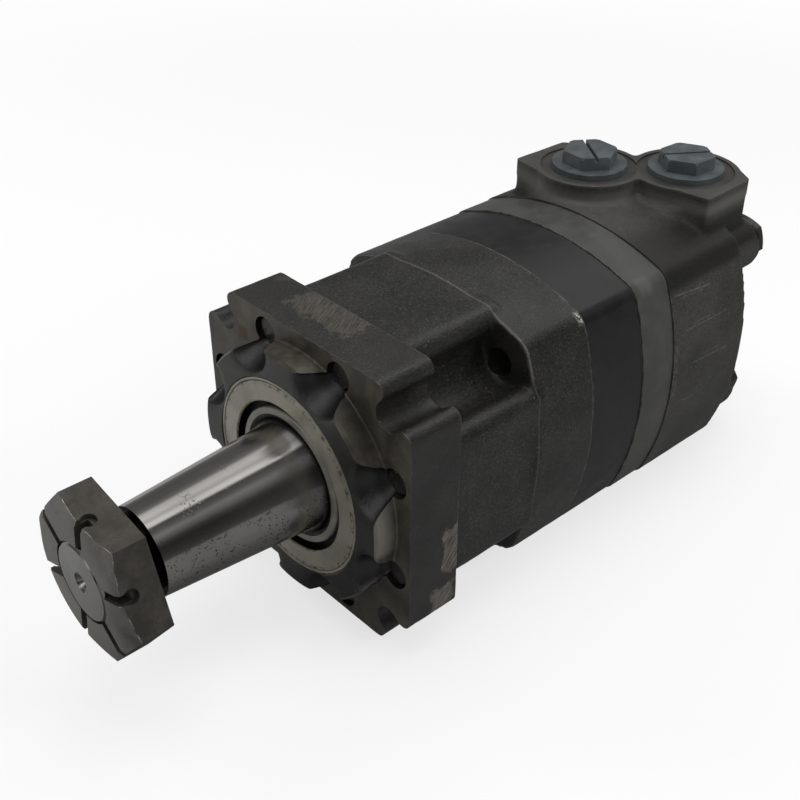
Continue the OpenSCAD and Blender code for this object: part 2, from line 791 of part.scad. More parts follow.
// Plastic plug with a hexagon head and a driver slot
module port_plug(p, phase) {
    translate([p[0], p[1], port_z - spotface_depth]) rotate([0, 0, phase]) difference() {
        union() {
            translate([0, 0, -plug_depth]) cylinder(h = plug_depth, r = port_r - 0.4);
            translate([0, 0, 0.02]) cylinder(h = plug_flange_t, r = plug_flange_r);
            intersection() {
                cylinder(h = plug_hex_h, r = plug_hex_r, $fn = 6);
                cylinder(h = plug_hex_h, r1 = plug_hex_r + 4, r2 = plug_hex_r - 0.7);
            }
        }
        translate([0, 0, -plug_depth - past]) cylinder(h = plug_depth + past - plug_wall, r = port_r - plug_wall);
        translate([0, 0, plug_hex_h]) rotate([0, 0, 30])
            cube([2 * plug_hex_r + 6, plug_slot[0], 2 * plug_slot[1]], center = true);
    }
}

module port_plug_a() { color("#3a4048") port_plug(port_a, 24.9); }
module port_plug_b() { color("#3a4048") port_plug(port_b, 115.9); }

module port_plug_seals() {
    color("#1f1f1f") for (p = [port_a, port_b])
        translate([p[0], p[1], port_z - spotface_depth - plug_seal_r - 0.3]) rotate_extrude()
            translate([port_r + 0.65, 0]) circle(r = plug_seal_r, $fn = 24);
}

module case_drain_plug() {
    color("#4a4b4d") translate([0, 0, drain_z]) difference() {
        bar(rear_x + drain_plug[0], rear_x + drain_plug[1], drain_r - fit);
        along_shaft(rear_x - past) cylinder(h = drain_hex_depth + past, r = drain_hex_r, $fn = 6);
    }
}

// Output shaft with its taper, journal, bearing seats and splined cup
shaft_rear_x = -112.4;
cup_floor_x = -66;
journal_x0 = -16;
journal_x1 = 12.2;
taper_x = 14;
taper_end_x = 90;
centre_r = [1.6, 5];
centre_depth = 3.4;

function taper_at(x) = taper_r - (x - taper_x) * taper_rate / 2;

nut_x = shaft_end_x - nut_h;
key_x0 = 34;
key_x1 = 86;
key_half = 7.15;
key_angle = 225;
key_floor_r = 17.6;
key_h = 12.4;

module output_shaft() {
    color("#c8c6c0") difference() {
        turned([
            [shaft_rear_x, 0], [shaft_rear_x, rear_bearing[1]], [rear_cup_x + bearing_t, rear_bearing[1]],
            [rear_cup_x + bearing_t, shaft_shoulder_r], [front_cup_x - bearing_t, shaft_shoulder_r],
            [front_cup_x - bearing_t, front_bearing[1]], [journal_x0 - 1.5, front_bearing[1]],
            [journal_x0, journal_r], [journal_x1, journal_r], [taper_x, taper_r],
            [taper_end_x, taper_at(taper_end_x)],
            [taper_end_x, thread_r - 1.2], [taper_end_x + 2, thread_r - 1.2],
            [taper_end_x + 2, thread_r], [shaft_end_x - 1.4, thread_r],
            [shaft_end_x, thread_r - 1.4], [shaft_end_x, 0]]);
        spline_socket(shaft_rear_x - past, cup_floor_x, drive_spline);
        bar(cup_floor_x - 0.5, cup_floor_x + 4, 14);
        tapered_bar(shaft_end_x - centre_depth, shaft_end_x + 0.01, centre_r[0], centre_r[1]);
        bar(shaft_end_x - 9, shaft_end_x - centre_depth + 0.4, centre_r[0]);
        rotate([key_angle, 0, 0]) translate([key_x0, key_floor_r, -key_half])
            cube([key_x1 - key_x0, 20, 2 * key_half]);
    }
}

module shaft_key() {
    color("#9a9b98") rotate([key_angle, 0, 0])
        translate([key_x0 + fit, key_floor_r + fit, -key_half + fit])
        cube([key_x1 - key_x0 - 2 * fit, key_h, 2 * (key_half - fit)]);
}

// Slotted nut on the shaft end: front chamfer and six keyhole slots
nut_phase = 109.5;
nut_slot_half = 2.4;
nut_slot_depth = 6.6;
nut_slot_eye_r = 3.5;
nut_face_r = 32.4;
nut_reach = 43;

module shaft_nut() {
    color("#77746c") difference() {
        intersection() {
            rotate([nut_phase, 0, 0]) along_shaft(nut_x) cylinder(h = nut_h, r = nut_af / sqrt(3), $fn = 6);
            turned([
                [nut_x, 0], [nut_x, nut_reach],
                [shaft_end_x - 4.8, nut_reach], [shaft_end_x - 0.2, nut_face_r], [shaft_end_x - 0.2, 0]]);
        }
        bar(nut_x - past, shaft_end_x + past, thread_r + 0.12);
        around(6, nut_phase + 30) {
            translate([shaft_end_x - nut_slot_depth, 0, -nut_slot_half])
                cube([nut_slot_depth + past, 50, 2 * nut_slot_half]);
            translate([shaft_end_x - nut_slot_depth, 0, 0]) rotate([-90, 0, 0])
                cylinder(h = 50, r = nut_slot_eye_r);
        }
    }
}

mounting_flange();
flange_screws();
bearing_housing();
seal_carrier();
carrier_oring();
dust_seal_case();
dust_seal_lip();
shaft_seal();
seal_backup_washer();
front_bearing_cup();
rear_bearing_cup();
wear_plate();
front_section_seal();
geroler_ring();
rear_section_seal();
valve_plate();
valve_plate_seal();
valve_housing();
tie_bolts();
balance_ring();
balance_ring_seals();
bias_springs();
port_plug_a();
port_plug_b();
port_plug_seals();
case_drain_plug();
output_shaft();
shaft_nut();
shaft_key();
front_bearing_cone();
rear_bearing_cone();
front_bearing_rollers();
front_bearing_cage();
rear_bearing_rollers();
rear_bearing_cage();
main_drive();
drive_spacer();
geroler_star();
for (i = [1 : roller_count])
    geroler_roller(i);
valve_drive();
disc_valve();
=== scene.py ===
# Visual model of an orbital hydraulic motor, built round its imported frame.
# Sizes below are millimetres in the frame's own axes: X runs out along the shaft, Z up through the ports.
import json
import math

import bpy
from mathutils import Euler, Matrix, Vector


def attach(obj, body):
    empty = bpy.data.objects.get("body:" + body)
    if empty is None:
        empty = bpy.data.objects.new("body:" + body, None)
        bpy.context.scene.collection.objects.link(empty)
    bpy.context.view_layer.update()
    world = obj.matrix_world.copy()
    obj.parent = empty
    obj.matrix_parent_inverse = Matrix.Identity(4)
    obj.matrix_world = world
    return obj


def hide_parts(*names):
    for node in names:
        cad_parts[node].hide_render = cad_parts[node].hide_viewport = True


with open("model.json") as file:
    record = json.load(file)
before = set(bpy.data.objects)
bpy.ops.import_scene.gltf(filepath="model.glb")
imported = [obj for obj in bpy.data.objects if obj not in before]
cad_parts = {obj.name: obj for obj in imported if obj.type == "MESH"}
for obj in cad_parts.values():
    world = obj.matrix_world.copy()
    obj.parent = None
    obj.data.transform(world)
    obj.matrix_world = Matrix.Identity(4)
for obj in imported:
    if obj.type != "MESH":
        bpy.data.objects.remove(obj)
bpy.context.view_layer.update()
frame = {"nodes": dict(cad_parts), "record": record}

mm = 0.001
turnSteps = 128        # faces round a turned piece
past = 1.0             # how far a cutting shape runs past a face
over = 9.0             # how much a milling cut takes off beyond a machined face
wide = 90.0            # half width of a cut that takes in the whole body
print("frame loaded")


# Selecting and naming

def clearSelection():
    bpy.ops.object.select_all(action="DESELECT")


def pick(piece):
    clearSelection()
    piece.select_set(True)
    bpy.context.view_layer.objects.active = piece


def applyPlace(piece):
    pick(piece)
    bpy.ops.object.transform_apply(location=True, rotation=True, scale=True)
    return piece


def settle(name):
    piece = bpy.context.object
    piece.name = name
    piece.data.name = name
    return applyPlace(piece)


def joinAll(pieces, name):
    pick(pieces[0])
    for piece in pieces:
        piece.select_set(True)
    bpy.ops.object.join()
    return settle(name)


# Drawing a shape: one vertex first, then each next one extruded from the last

def drawChain(points):
    clearSelection()
    bpy.ops.mesh.primitive_plane_add(size=mm, location=Vector(points[0]) * mm)
    bpy.ops.object.mode_set(mode="EDIT")
    bpy.ops.mesh.merge(type="CENTER")
    for last, point in zip(points, points[1:]):
        bpy.ops.mesh.extrude_vertices_move(
            TRANSFORM_OT_translate={"value": (Vector(point) - Vector(last)) * mm})
    bpy.ops.mesh.select_all(action="SELECT")


def outwards():
    bpy.ops.mesh.select_all(action="SELECT")
    bpy.ops.mesh.remove_doubles(threshold=0.002 * mm)
    bpy.ops.mesh.normals_make_consistent(inside=False)
    bpy.ops.object.mode_set(mode="OBJECT")


def addTurned(name, profile, steps=turnSteps, ring=True):
    points = profile + profile[:1] if ring else profile
    drawChain([(x, r, 0) for x, r in points])
    bpy.ops.mesh.spin(steps=steps, angle=2 * math.pi, center=(0, 0, 0), axis=(1, 0, 0))
    outwards()
    return settle(name)


def addDrawn(name, points, way):
    drawChain(points)
    bpy.ops.mesh.edge_face_add()
    bpy.ops.mesh.extrude_region_move(TRANSFORM_OT_translate={"value": [part * mm for part in way]})
    outwards()
    return settle(name)


def addOutlined(name, outline, x0, x1):
    return addDrawn(name, [(x0, y, z) for y, z in outline], (x1 - x0, 0, 0))


def addRaised(name, outline, z0, z1):
    return addDrawn(name, [(x, y, z0) for x, y in outline], (0, 0, z1 - z0))


def addRound(name, middle, length, r, sides, rotation):
    clearSelection()
    bpy.ops.mesh.primitive_cylinder_add(vertices=sides, radius=r * mm, depth=length * mm,
                                        location=[part * mm for part in middle], rotation=rotation)
    return settle(name)


def addBar(name, x0, x1, r, y=0, z=0, sides=64, turn=0):
    # turn is the angle of the first corner, from +Y towards +Z
    lying = Matrix.Rotation(math.pi / 2, 3, "Y") @ Matrix.Rotation(turn, 3, "Z")
    return addRound(name, ((x0 + x1) / 2, y, z), abs(x1 - x0), r, sides, lying.to_euler())


def addPost(name, z0, z1, r, x=0, y=0, sides=64, turn=0):
    return addRound(name, (x, y, (z0 + z1) / 2), abs(z1 - z0), r, sides, (0, 0, turn))


def addBall(name, place, r):
    clearSelection()
    bpy.ops.mesh.primitive_uv_sphere_add(
        segments=64, ring_count=32, radius=r * mm, location=Vector(place) * mm)
    return settle(name)


def addBlock(name, low, high):
    clearSelection()
    middle = (Vector(low) + Vector(high)) / 2 * mm
    bpy.ops.mesh.primitive_cube_add(size=1, location=middle)
    bpy.context.object.scale = (Vector(high) - Vector(low)) * mm
    return settle(name)


def around(piece, count, start=0):
    # Copies a piece round the shaft axis, each copy with its own mesh, and joins them
    copies = []
    for i in range(count):
        pick(piece)
        bpy.ops.object.duplicate(linked=False)
        copy = bpy.context.object
        copy.rotation_euler = (math.radians(start + 360 * i / count), 0, 0)
        bpy.ops.object.transform_apply(location=False, rotation=True, scale=False)
        copies.append(copy)
    name = piece.name
    bpy.data.objects.remove(piece)
    return joinAll(copies, name)


# Modifiers, applied at once

def modify(piece, kind, **settings):
    pick(piece)
    bpy.ops.object.modifier_add(type=kind)
    modifier = piece.modifiers[-1]
    for name, value in settings.items():
        setattr(modifier, name, value)
    bpy.ops.object.modifier_apply(modifier=modifier.name)


def combine(piece, other, operation, solver="EXACT"):
    modify(piece, "BOOLEAN", operation=operation, object=other, solver=solver, material_mode="TRANSFER")
    bpy.data.objects.remove(other)


def dress(piece, finish):
    piece.data.materials.clear()
    piece.data.materials.append(finish)


def cut(piece, cutter, finish):
    # The walls of the cut take the cutter's finish
    dress(cutter, finish)
    combine(piece, cutter, "DIFFERENCE", "MANIFOLD")


def drill(piece, x0, x1, r, finish, circle=0, count=1, start=0, sides=turnSteps):
    # One hole along X, or a ring of them round the shaft axis
    hole = addBar("hole", x0, x1, r, y=circle, sides=sides)
    cut(piece, around(hole, count, start) if count > 1 else hole, finish)


def faceOff(piece, x0, x1, finish):
    cut(piece, addBlock("faceCut", (x0, -wide, -wide), (x1, wide, wide)), finish)


def roundEdges(piece, width, limit=40, worn=None):
    # The new faces along the edges take the worn finish when there is one
    pick(piece)
    place = -1
    if worn:
        piece.data.materials.append(worn)
        place = len(piece.data.materials) - 1
    modify(piece, "BEVEL", width=width * mm, segments=2, limit_method="ANGLE",
           angle_limit=math.radians(limit), harden_normals=False, material=place)


def smoothShade(piece, limit, crisp):
    # Crisp borders between two finishes stay sharp, and flat faces keep their own normal
    pick(piece)
    bpy.ops.object.shade_smooth_by_angle(angle=math.radians(limit))
    for i in range(1, len(piece.data.materials) if crisp else 0):
        bpy.ops.object.mode_set(mode="EDIT")
        bpy.ops.mesh.select_mode(type="FACE")
        bpy.ops.mesh.select_all(action="DESELECT")
        piece.active_material_index = i
        bpy.ops.object.material_slot_select()
        bpy.ops.mesh.region_to_loop()
        bpy.ops.mesh.mark_sharp()
        bpy.ops.mesh.select_mode(type="VERT")
        bpy.ops.object.mode_set(mode="OBJECT")
    modify(piece, "WEIGHTED_NORMAL", keep_sharp=True)


def castSkin(piece, sizes):
    # Melts the blanks together as a casting: rounded edges, filled corners and a slightly uneven skin
    modify(piece, "REMESH", mode="VOXEL", voxel_size=sizes["voxel"] * mm, adaptivity=0)
    modify(piece, "SMOOTH", factor=0.5, iterations=sizes["rounds"])
    texture = bpy.data.textures.new(piece.name + "Unevenness", "CLOUDS")
    texture.noise_scale = sizes["lump"] * mm
    modify(piece, "DISPLACE", texture=texture, texture_coords="LOCAL", strength=sizes["uneven"] * mm,
           mid_level=0.5)


def soften(piece, rounds, low, high, reach=200):
    # Rounds off what lies in a box, within a distance from the shaft axis
    group = piece.vertex_groups.new(name="softened")
    inside = []
    for vertex in piece.data.vertices:
        place = vertex.co / mm
        boxed = all(a < value < b for a, value, b in zip(low, place, high))
        if boxed and math.hypot(place[1], place[2]) < reach:
            inside.append(vertex.index)
    group.add(inside, 1.0, "REPLACE")
    modify(piece, "SMOOTH", factor=0.5, iterations=rounds, vertex_group=group.name)
    piece.vertex_groups.clear()


def finishPiece(piece, body, node, limit=35, crisp=False):
    smoothShade(piece, limit, crisp)
    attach(piece, body)
    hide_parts(node)


# Outlines shared with the solids, as (y, z)

def arcPoints(centre, radius, start, end, steps):
    points = []
    for i in range(steps + 1):
        angle = math.radians(start + (end - start) * i / steps)
        points.append((centre[0] + radius * math.cos(angle), centre[1] + radius * math.sin(angle)))
    return points


def fourWays(quarter):
    points = []
    for c, s in ((1, 0), (0, 1), (-1, 0), (0, -1)):
        points += [(y * c - z * s, y * s + z * c) for y, z in quarter]
    return points


body = {
    "reach": 72.3, "plateReach": 73.0, "valveReach": 73.8, "bulge": 150.0, "corner": 10.0,
    "neckX": -29.0, "shoulderX": -80.0, "ringX": -119.0, "plateX": -156.5, "blockX": -180.5,
    "drumX": -242.0, "rearX": -277.0, "boltCircle": 64.0, "boltHole": 6.2,
}


def bodyOutline(reach):
    off = body["bulge"] - reach
    inner = body["bulge"] - body["corner"]
    c = (math.sqrt(2 * inner ** 2 - off ** 2) - off) / 2
    a = math.degrees(math.atan2(c, c + off))
    corner = arcPoints((c, c), body["corner"], a, 90 - a, 14)
    return fourWays(arcPoints((-off, 0), body["bulge"], -a, a, 24) + corner[1:-1])


# Nodes for the finishes

def addNode(tree, kind, **settings):
    node = tree.nodes.new(kind)
    for name, value in settings.items():
        setattr(node, name, value)
    return node


def feed(tree, source, socket):
    if isinstance(source, bpy.types.NodeSocket):
        tree.links.new(source, socket)
    elif isinstance(source, (tuple, list)) and len(source) == 3 and socket.type == "RGBA":
        socket.default_value = (*source, 1)
    else:
        socket.default_value = source


def newFinish(name, metallic, specular, ior=1.5):
    material = bpy.data.materials.new(name)
    material.use_nodes = True
    tree = material.node_tree
    shader = tree.nodes["Principled BSDF"]
    shader.inputs["Metallic"].default_value = metallic
    shader.inputs["Specular IOR Level"].default_value = specular
    shader.inputs["IOR"].default_value = ior
    point = addNode(tree, "ShaderNodeTexCoord").outputs["Object"]
    return material, tree, shader.inputs, point


def maths(tree, operation, a, b=0.0):
    node = addNode(tree, "ShaderNodeMath", operation=operation)
    feed(tree, a, node.inputs[0])
    feed(tree, b, node.inputs[1])
    return node.outputs[0]


def times(tree, a, b):
    return maths(tree, "MULTIPLY", a, b)


def span(tree, value, low, high, start=0.0, end=1.0):
    node = addNode(tree, "ShaderNodeMapRange", interpolation_type="SMOOTHSTEP")
    feed(tree, value, node.inputs["Value"])
    for socket, number in (("From Min", low), ("From Max", high), ("To Min", start), ("To Max", end)):
        node.inputs[socket].default_value = number
    return node.outputs["Result"]


def noise(tree, point, size, detail, roughness, stretch=None, turn=(0, 0, 0)):
    # size is the width of the largest blots in millimetres
    # stretch lengthens them along their own turned axes
    if stretch:
        mapping = addNode(tree, "ShaderNodeMapping", vector_type="TEXTURE")
        feed(tree, point, mapping.inputs["Vector"])
        mapping.inputs["Rotation"].default_value = [math.radians(angle) for angle in turn]
        mapping.inputs["Scale"].default_value = stretch
        point = mapping.outputs["Vector"]
    node = addNode(tree, "ShaderNodeTexNoise")
    feed(tree, point, node.inputs["Vector"])
    node.inputs["Scale"].default_value = 1 / (size * mm)
    node.inputs["Detail"].default_value = detail
    node.inputs["Roughness"].default_value = roughness
    return node.outputs["Fac"]


def blend(tree, factor, a, b):
    node = addNode(tree, "ShaderNodeMix", data_type="RGBA")
    feed(tree, factor, node.inputs[0])
    feed(tree, a, node.inputs[6])
    feed(tree, b, node.inputs[7])
    return node.outputs[2]


def relief(tree, height, depth, below=None):
    # depth is the height of the relief in millimetres
    node = addNode(tree, "ShaderNodeBump")
    node.inputs["Strength"].default_value = 1.0
    node.inputs["Distance"].default_value = depth * mm
    feed(tree, height, node.inputs["Height"])
    if below:
        feed(tree, below, node.inputs["Normal"])
    return node.outputs["Normal"]


def axes(tree, point):
    node = addNode(tree, "ShaderNodeSeparateXYZ")
    feed(tree, point, node.inputs[0])
    return node.outputs


def within(tree, value, low, high, soft):
    rise = span(tree, value, (low - soft) * mm, (low + soft) * mm)
    fall = span(tree, value, (high - soft) * mm, (high + soft) * mm, 1.0, 0.0)
    return times(tree, rise, fall)


def region(tree, point, low, high, soft):
    # One inside a box given in millimetres, falling to nothing outside it
    result = None
    for value, a, b in zip(axes(tree, point), low, high):
        part = within(tree, value, a, b, soft)
        result = times(tree, result, part) if result else part
    return result


def radiusOf(tree, point):
    _, y, z = axes(tree, point)
    return maths(tree, "SQRT", maths(tree, "ADD", times(tree, y, y), times(tree, z, z)))


def scratch(tree, point, start, end, width):
    # One along a straight mark between two places in millimetres, seen along Y
    flat = addNode(tree, "ShaderNodeVectorMath", operation="MULTIPLY")
    feed(tree, point, flat.inputs[0])
    flat.inputs[1].default_value = (1, 0, 1)
    first = Vector((start[0], 0, start[1])) * mm
    way = Vector((end[0] - start[0], 0, end[1] - start[1])) * mm
    away = addNode(tree, "ShaderNodeVectorMath", operation="SUBTRACT")
    feed(tree, flat.outputs[0], away.inputs[0])
    away.inputs[1].default_value = first
    share = addNode(tree, "ShaderNodeVectorMath", operation="DOT_PRODUCT")
    feed(tree, away.outputs[0], share.inputs[0])
    share.inputs[1].default_value = way / way.length_squared
    held = addNode(tree, "ShaderNodeClamp")
    feed(tree, share.outputs["Value"], held.inputs[0])
    foot = addNode(tree, "ShaderNodeVectorMath", operation="SCALE")
    foot.inputs[0].default_value = way
    feed(tree, held.outputs[0], foot.inputs["Scale"])
    gap = addNode(tree, "ShaderNodeVectorMath", operation="DISTANCE")
    feed(tree, away.outputs[0], gap.inputs[0])
    feed(tree, foot.outputs[0], gap.inputs[1])
    return span(tree, gap.outputs["Value"], width * 0.25 * mm, width * mm, 1.0, 0.0)


def patchMask(tree, point, patch, ringSoft):
    # One inside a patch, which may be ground in strokes, kept to a ring or broken up
    mask = region(tree, point, patch["low"], patch["high"], patch["soft"])
    if "turn" in patch:
        edge = span(tree, noise(tree, point, 7, 4, 0.65), 0.35, 0.65, -0.35, 0.35)
        mask = span(tree, maths(tree, "ADD", mask, edge), 0.36, 0.62)
        strokes = noise(tree, point, 0.55, 3, 0.5, (16, 1, 1), patch["turn"])
        mask = times(tree, mask, span(tree, strokes, 0.40, 0.60, 0.2, 1.0))
    if "ring" in patch:
        mask = times(tree, mask, within(tree, radiusOf(tree, point), *patch["ring"], ringSoft))
    if "ragged" in patch:
        mask = times(tree, mask, span(tree, noise(tree, point, patch["ragged"], 4, 0.7), 0.46, 0.54))
    return times(tree, mask, patch["share"])


def castFinish(name, changes):
    look = castLook | changes
    material, tree, inputs, point = newFinish(name, look["metallic"], look["specular"], look["ior"])
    stain = span(tree, noise(tree, point, look["stain"], 5, 0.6), 0.35, 0.68)
    colour = blend(tree, stain, look["dark"], look["light"])
    sand = noise(tree, point, look["grain"], 4, 0.75)
    colour = blend(tree, span(tree, sand, 0.34, 0.5, 0.9, 0.0), colour, look["deep"])
    colour = blend(tree, span(tree, sand, 0.54, 0.68, 0.0, look["dustShare"]), colour, look["dust"])
    rust = span(tree, noise(tree, point, look["stain"] * 0.7, 6, 0.7), 0.62, 0.78, 0.0, look["rustShare"])
    colour = blend(tree, rust, colour, look["rust"])
    edges = addNode(tree, "ShaderNodeNewGeometry").outputs["Pointiness"]
    worn = span(tree, edges, 0.515, 0.58)
    worn = times(tree, worn, span(tree, noise(tree, point, 6, 4, 0.6), 0.35, 0.6, 0.1, look["wear"]))
    colour = blend(tree, worn, colour, look["bare"])
    for patch in look["patches"]:
        colour = blend(tree, patchMask(tree, point, patch, 1.2), colour, patch["colour"])
    for start, end, width, share in look["scratches"]:
        mask = scratch(tree, point, start, end, width)
        mask = times(tree, mask, span(tree, axes(tree, point)[1], 0.060, 0.066, 0.0, share))
        mask = times(tree, mask, span(tree, noise(tree, point, 2.2, 4, 0.7), 0.36, 0.56))
        colour = blend(tree, mask, colour, look["bare"])
    feed(tree, colour, inputs["Base Color"])
    rough = span(tree, sand, 0.3, 0.8, look["smooth"], look["rough"])
    if "wet" in look:
        dry = maths(tree, "SUBTRACT", 1.0, patchMask(tree, point, look["wet"], 1.2))
        rough = times(tree, rough, dry)
    feed(tree, rough, inputs["Roughness"])
    pits = relief(tree, noise(tree, point, look["grain"] * 3, 3, 0.6), look["lumps"])
    feed(tree, relief(tree, sand, look["relief"], pits), inputs["Normal"])
    return material


# Camera, world, floor and lights
camera = {
    "azimuth": 47.7595, "elevation": 34.0992, "roll": 0.1593, "distance": 475.028,
    "aim": (0.0, 65.055, 70.206), "lens": 53.386,
}
studio = {
    "ambient": 0.42, "floorZ": -73.9, "floorColour": (0.80, 0.80, 0.80), "shadowShare": 0.30,
    "floorFade": (0.5, 1.3), "floorSize": 8000.0,
    # Brightness that polished metal sees round the shaft axis, by angle from +Y towards +Z
    "around": [(-180, 0.22), (-90, 0.12), (-50, 0.25), (-15, 0.22), (-3, 0.08), (10, 0.05), (28, 0.03),
               (38, 0.06), (48, 0.18), (57, 0.28), (67, 0.14), (79, 0.09), (84, 1.05), (91, 0.95),
               (97, 0.62), (107, 0.86), (118, 0.72), (125, 0.24), (137, 0.14), (160, 0.12), (175, 0.15)],
    # Painted reflection that polished metal sees in the glowing floor, by place across it in millimetres;
    # it is darkest under the motor, a painted shadow
    "floorReflectionGlow": [(-500, 0.42), (-100, 0.36), (-40, 0.22), (0, 0.07), (40, 0.10), (90, 0.18), (160, 0.21),
              (500, 0.21)],
    "lamps": [
        {"name": "topLamp", "place": (-150, 50, 1100), "aim": (-80, 0, 0), "size": 900, "watts": 8.0},
        {"name": "backLamp", "place": (-700, 900, 700), "aim": (0, 0, 0), "size": 500, "watts": 6.0},
        {"name": "leftLamp", "place": (300, -1000, 700), "aim": (0, 0, 0), "size": 500, "watts": 5.0},
    ],
}


def addCamera():
    tilt = Euler((math.radians(90 - camera["elevation"]), 0, math.radians(90 + camera["azimuth"])))
    turned = tilt.to_matrix() @ Matrix.Rotation(math.radians(camera["roll"]), 3, "Z")
    place = (Vector(camera["aim"]) + turned @ Vector((0, 0, camera["distance"]))) * mm
    clearSelection()
    bpy.ops.object.camera_add(location=place, rotation=turned.to_euler())
    bpy.context.object.name = "photoCamera"
    bpy.context.object.data.lens = camera["lens"]
    bpy.context.object.data.sensor_width = 36
    bpy.context.object.data.clip_start = 0.01
    bpy.context.scene.camera = bpy.context.object


def ramp(tree, value, stops, low, high):
    # A brightness that follows a value through a list of (value, brightness)
    node = addNode(tree, "ShaderNodeValToRGB")
    feed(tree, maths(tree, "DIVIDE", maths(tree, "SUBTRACT", value, low), high - low), node.inputs[0])
    elements = node.color_ramp.elements
    while len(elements) > 1:
        elements.remove(elements[-1])
    for i, (place, level) in enumerate(stops):
        element = elements.new((place - low) / (high - low)) if i else elements[0]
        element.position = (place - low) / (high - low)
        element.color = (level, level, level, 1)
    return node.outputs[0]


def addWorld():
    world = bpy.data.worlds.new("studioWorld")
    world.use_nodes = True
    bpy.context.scene.world = world
    tree = world.node_tree
    way = axes(tree, addNode(tree, "ShaderNodeTexCoord").outputs["Generated"])
    turn = times(tree, maths(tree, "ARCTAN2", way[2], way[1]), 180 / math.pi)
    rays = addNode(tree, "ShaderNodeLightPath").outputs
    shine = ramp(tree, turn, studio["around"], -180, 180)
    seen = blend(tree, rays["Is Glossy Ray"], (studio["ambient"],) * 3, shine)
    backdrop = blend(tree, rays["Is Camera Ray"], seen, (1, 1, 1))
    feed(tree, backdrop, tree.nodes["Background"].inputs["Color"])


def addFloor():
    clearSelection()
    bpy.ops.mesh.primitive_plane_add(size=studio["floorSize"] * mm, location=(0, 0, studio["floorZ"] * mm))
    floor = settle("studioFloor")
    material = bpy.data.materials.new("floorPale")
    material.use_nodes = True
    tree = material.node_tree
    shader = tree.nodes["Principled BSDF"]
    shader.inputs["Base Color"].default_value = (*studio["floorColour"], 1)
    shader.inputs["Roughness"].default_value = 0.9
    shader.inputs["Specular IOR Level"].default_value = 0.0
    rays = addNode(tree, "ShaderNodeLightPath").outputs
    place = addNode(tree, "ShaderNodeTexCoord").outputs["Object"]
    side = axes(tree, place)[1]
    reach = addNode(tree, "ShaderNodeVectorMath", operation="LENGTH")
    feed(tree, place, reach.inputs[0])
    # The shaded floor turns into the plain white ground away from the motor
    clear = span(tree, reach.outputs["Value"], *studio["floorFade"], 1 - studio["shadowShare"], 1.0)
    # Metal sees the floor as a glow, a painted reflection with a painted shadow under the motor
    floorReflectionGlow = ramp(tree, times(tree, side, 1 / mm), studio["floorReflectionGlow"], -500, 500)
    glow = addNode(tree, "ShaderNodeEmission")
    feed(tree, blend(tree, rays["Is Glossy Ray"], (1, 1, 1), floorReflectionGlow), glow.inputs["Color"])
    both = addNode(tree, "ShaderNodeMixShader")
    lit = times(tree, rays["Is Camera Ray"], clear)
    feed(tree, maths(tree, "MAXIMUM", lit, rays["Is Glossy Ray"]), both.inputs[0])
    tree.links.new(shader.outputs[0], both.inputs[1])
    tree.links.new(glow.outputs[0], both.inputs[2])
    tree.links.new(both.outputs[0], tree.nodes["Material Output"].inputs["Surface"])
    floor.data.materials.append(material)


def addLamps():
    for lamp in studio["lamps"]:
        place, aim = Vector(lamp["place"]) * mm, Vector(lamp["aim"]) * mm
        clearSelection()
        bpy.ops.object.light_add(type="AREA", location=place,
                                 rotation=(place - aim).to_track_quat("Z", "Y").to_euler())
        light = bpy.context.object
        light.name = lamp["name"]
        light.data.shape = "SQUARE"
        light.data.size = lamp["size"] * mm
        light.data.energy = lamp["watts"]
        light.visible_glossy = False


bpy.context.scene.view_settings.view_transform = "Standard"
addCamera()
addWorld()
addFloor()
addLamps()
print("camera, world and lamps set")


# Finishes of the castings
castLook = {
    "dark": (0.012, 0.011, 0.0095), "light": (0.026, 0.0235, 0.020), "deep": (0.006, 0.0055, 0.005),
    "dust": (0.055, 0.050, 0.042), "rust": (0.060, 0.030, 0.017), "bare": (0.120, 0.105, 0.082),
    "rustShare": 0.25, "wear": 0.6, "metallic": 0.0, "specular": 0.8, "smooth": 0.30, "rough": 0.46,
    "stain": 24.0, "grain": 1.0, "relief": 0.22, "lumps": 0.10, "dustShare": 1.0, "ior": 1.5,
    "patches": [], "scratches": [],
}
dishes = {"low": (-8, -70, -70), "high": (11.2, 70, 70), "ring": (50, 65), "soft": 1.0}
ground = {"turn": (0, 0, 32), "soft": 5.0, "share": 0.85, "colour": (0.078, 0.068, 0.053)}
sideGround = {"turn": (0, 49, 0), "soft": 3.0, "share": 0.95, "colour": (0.125, 0.112, 0.088)}
flangeCast = castFinish("flangeCast", {
    "dark": (0.0045, 0.0042, 0.0037), "light": (0.0125, 0.0114, 0.010), "specular": 1.0, "smooth": 0.34,
    "rough": 0.54, "ior": 1.55, "relief": 0.30, "lumps": 0.15, "wet": dishes | {"share": 0.78},
    "patches": [
        # Painted shade: the dish hollows are painted darker
        dishes | {"share": 0.9, "colour": (0.002, 0.0018, 0.0016)},
        ground | {"low": (-31, -27, 66), "high": (-12, 16, 80), "colour": (0.064, 0.055, 0.042)},
        ground | {"low": (-30, -50, 66), "high": (-22, -40, 80), "share": 0.4},
        sideGround | {"low": (-31, 66, -31), "high": (-20, 80, -6)},
        sideGround | {"low": (-27, 66, -54), "high": (-14, 80, -38)},
    ],
})
# Painted highlight along the shoulder's front edge, stronger on the top than on the side
shoulderEdgeHighlight = {"soft": 0.5, "colour": (0.17, 0.165, 0.15)}
housingCast = castFinish("housingCast", {
    "dark": (0.010, 0.0098, 0.0094), "light": (0.020, 0.0195, 0.0185), "rustShare": 0.12, "specular": 0.7,
    "patches": [
        {"low": (-122, 56, 57.5), "high": (-116.5, 62.5, 62.5), "soft": 1.6, "share": 0.9, "ragged": 1.6,
         "colour": (0.36, 0.35, 0.32)},
        shoulderEdgeHighlight | {"low": (-81.3, -80, 45), "high": (-80.7, 66, 80), "share": 0.4},
        shoulderEdgeHighlight | {"low": (-81.3, 55, -70), "high": (-80.7, 80, 60), "share": 0.18},
    ],
})
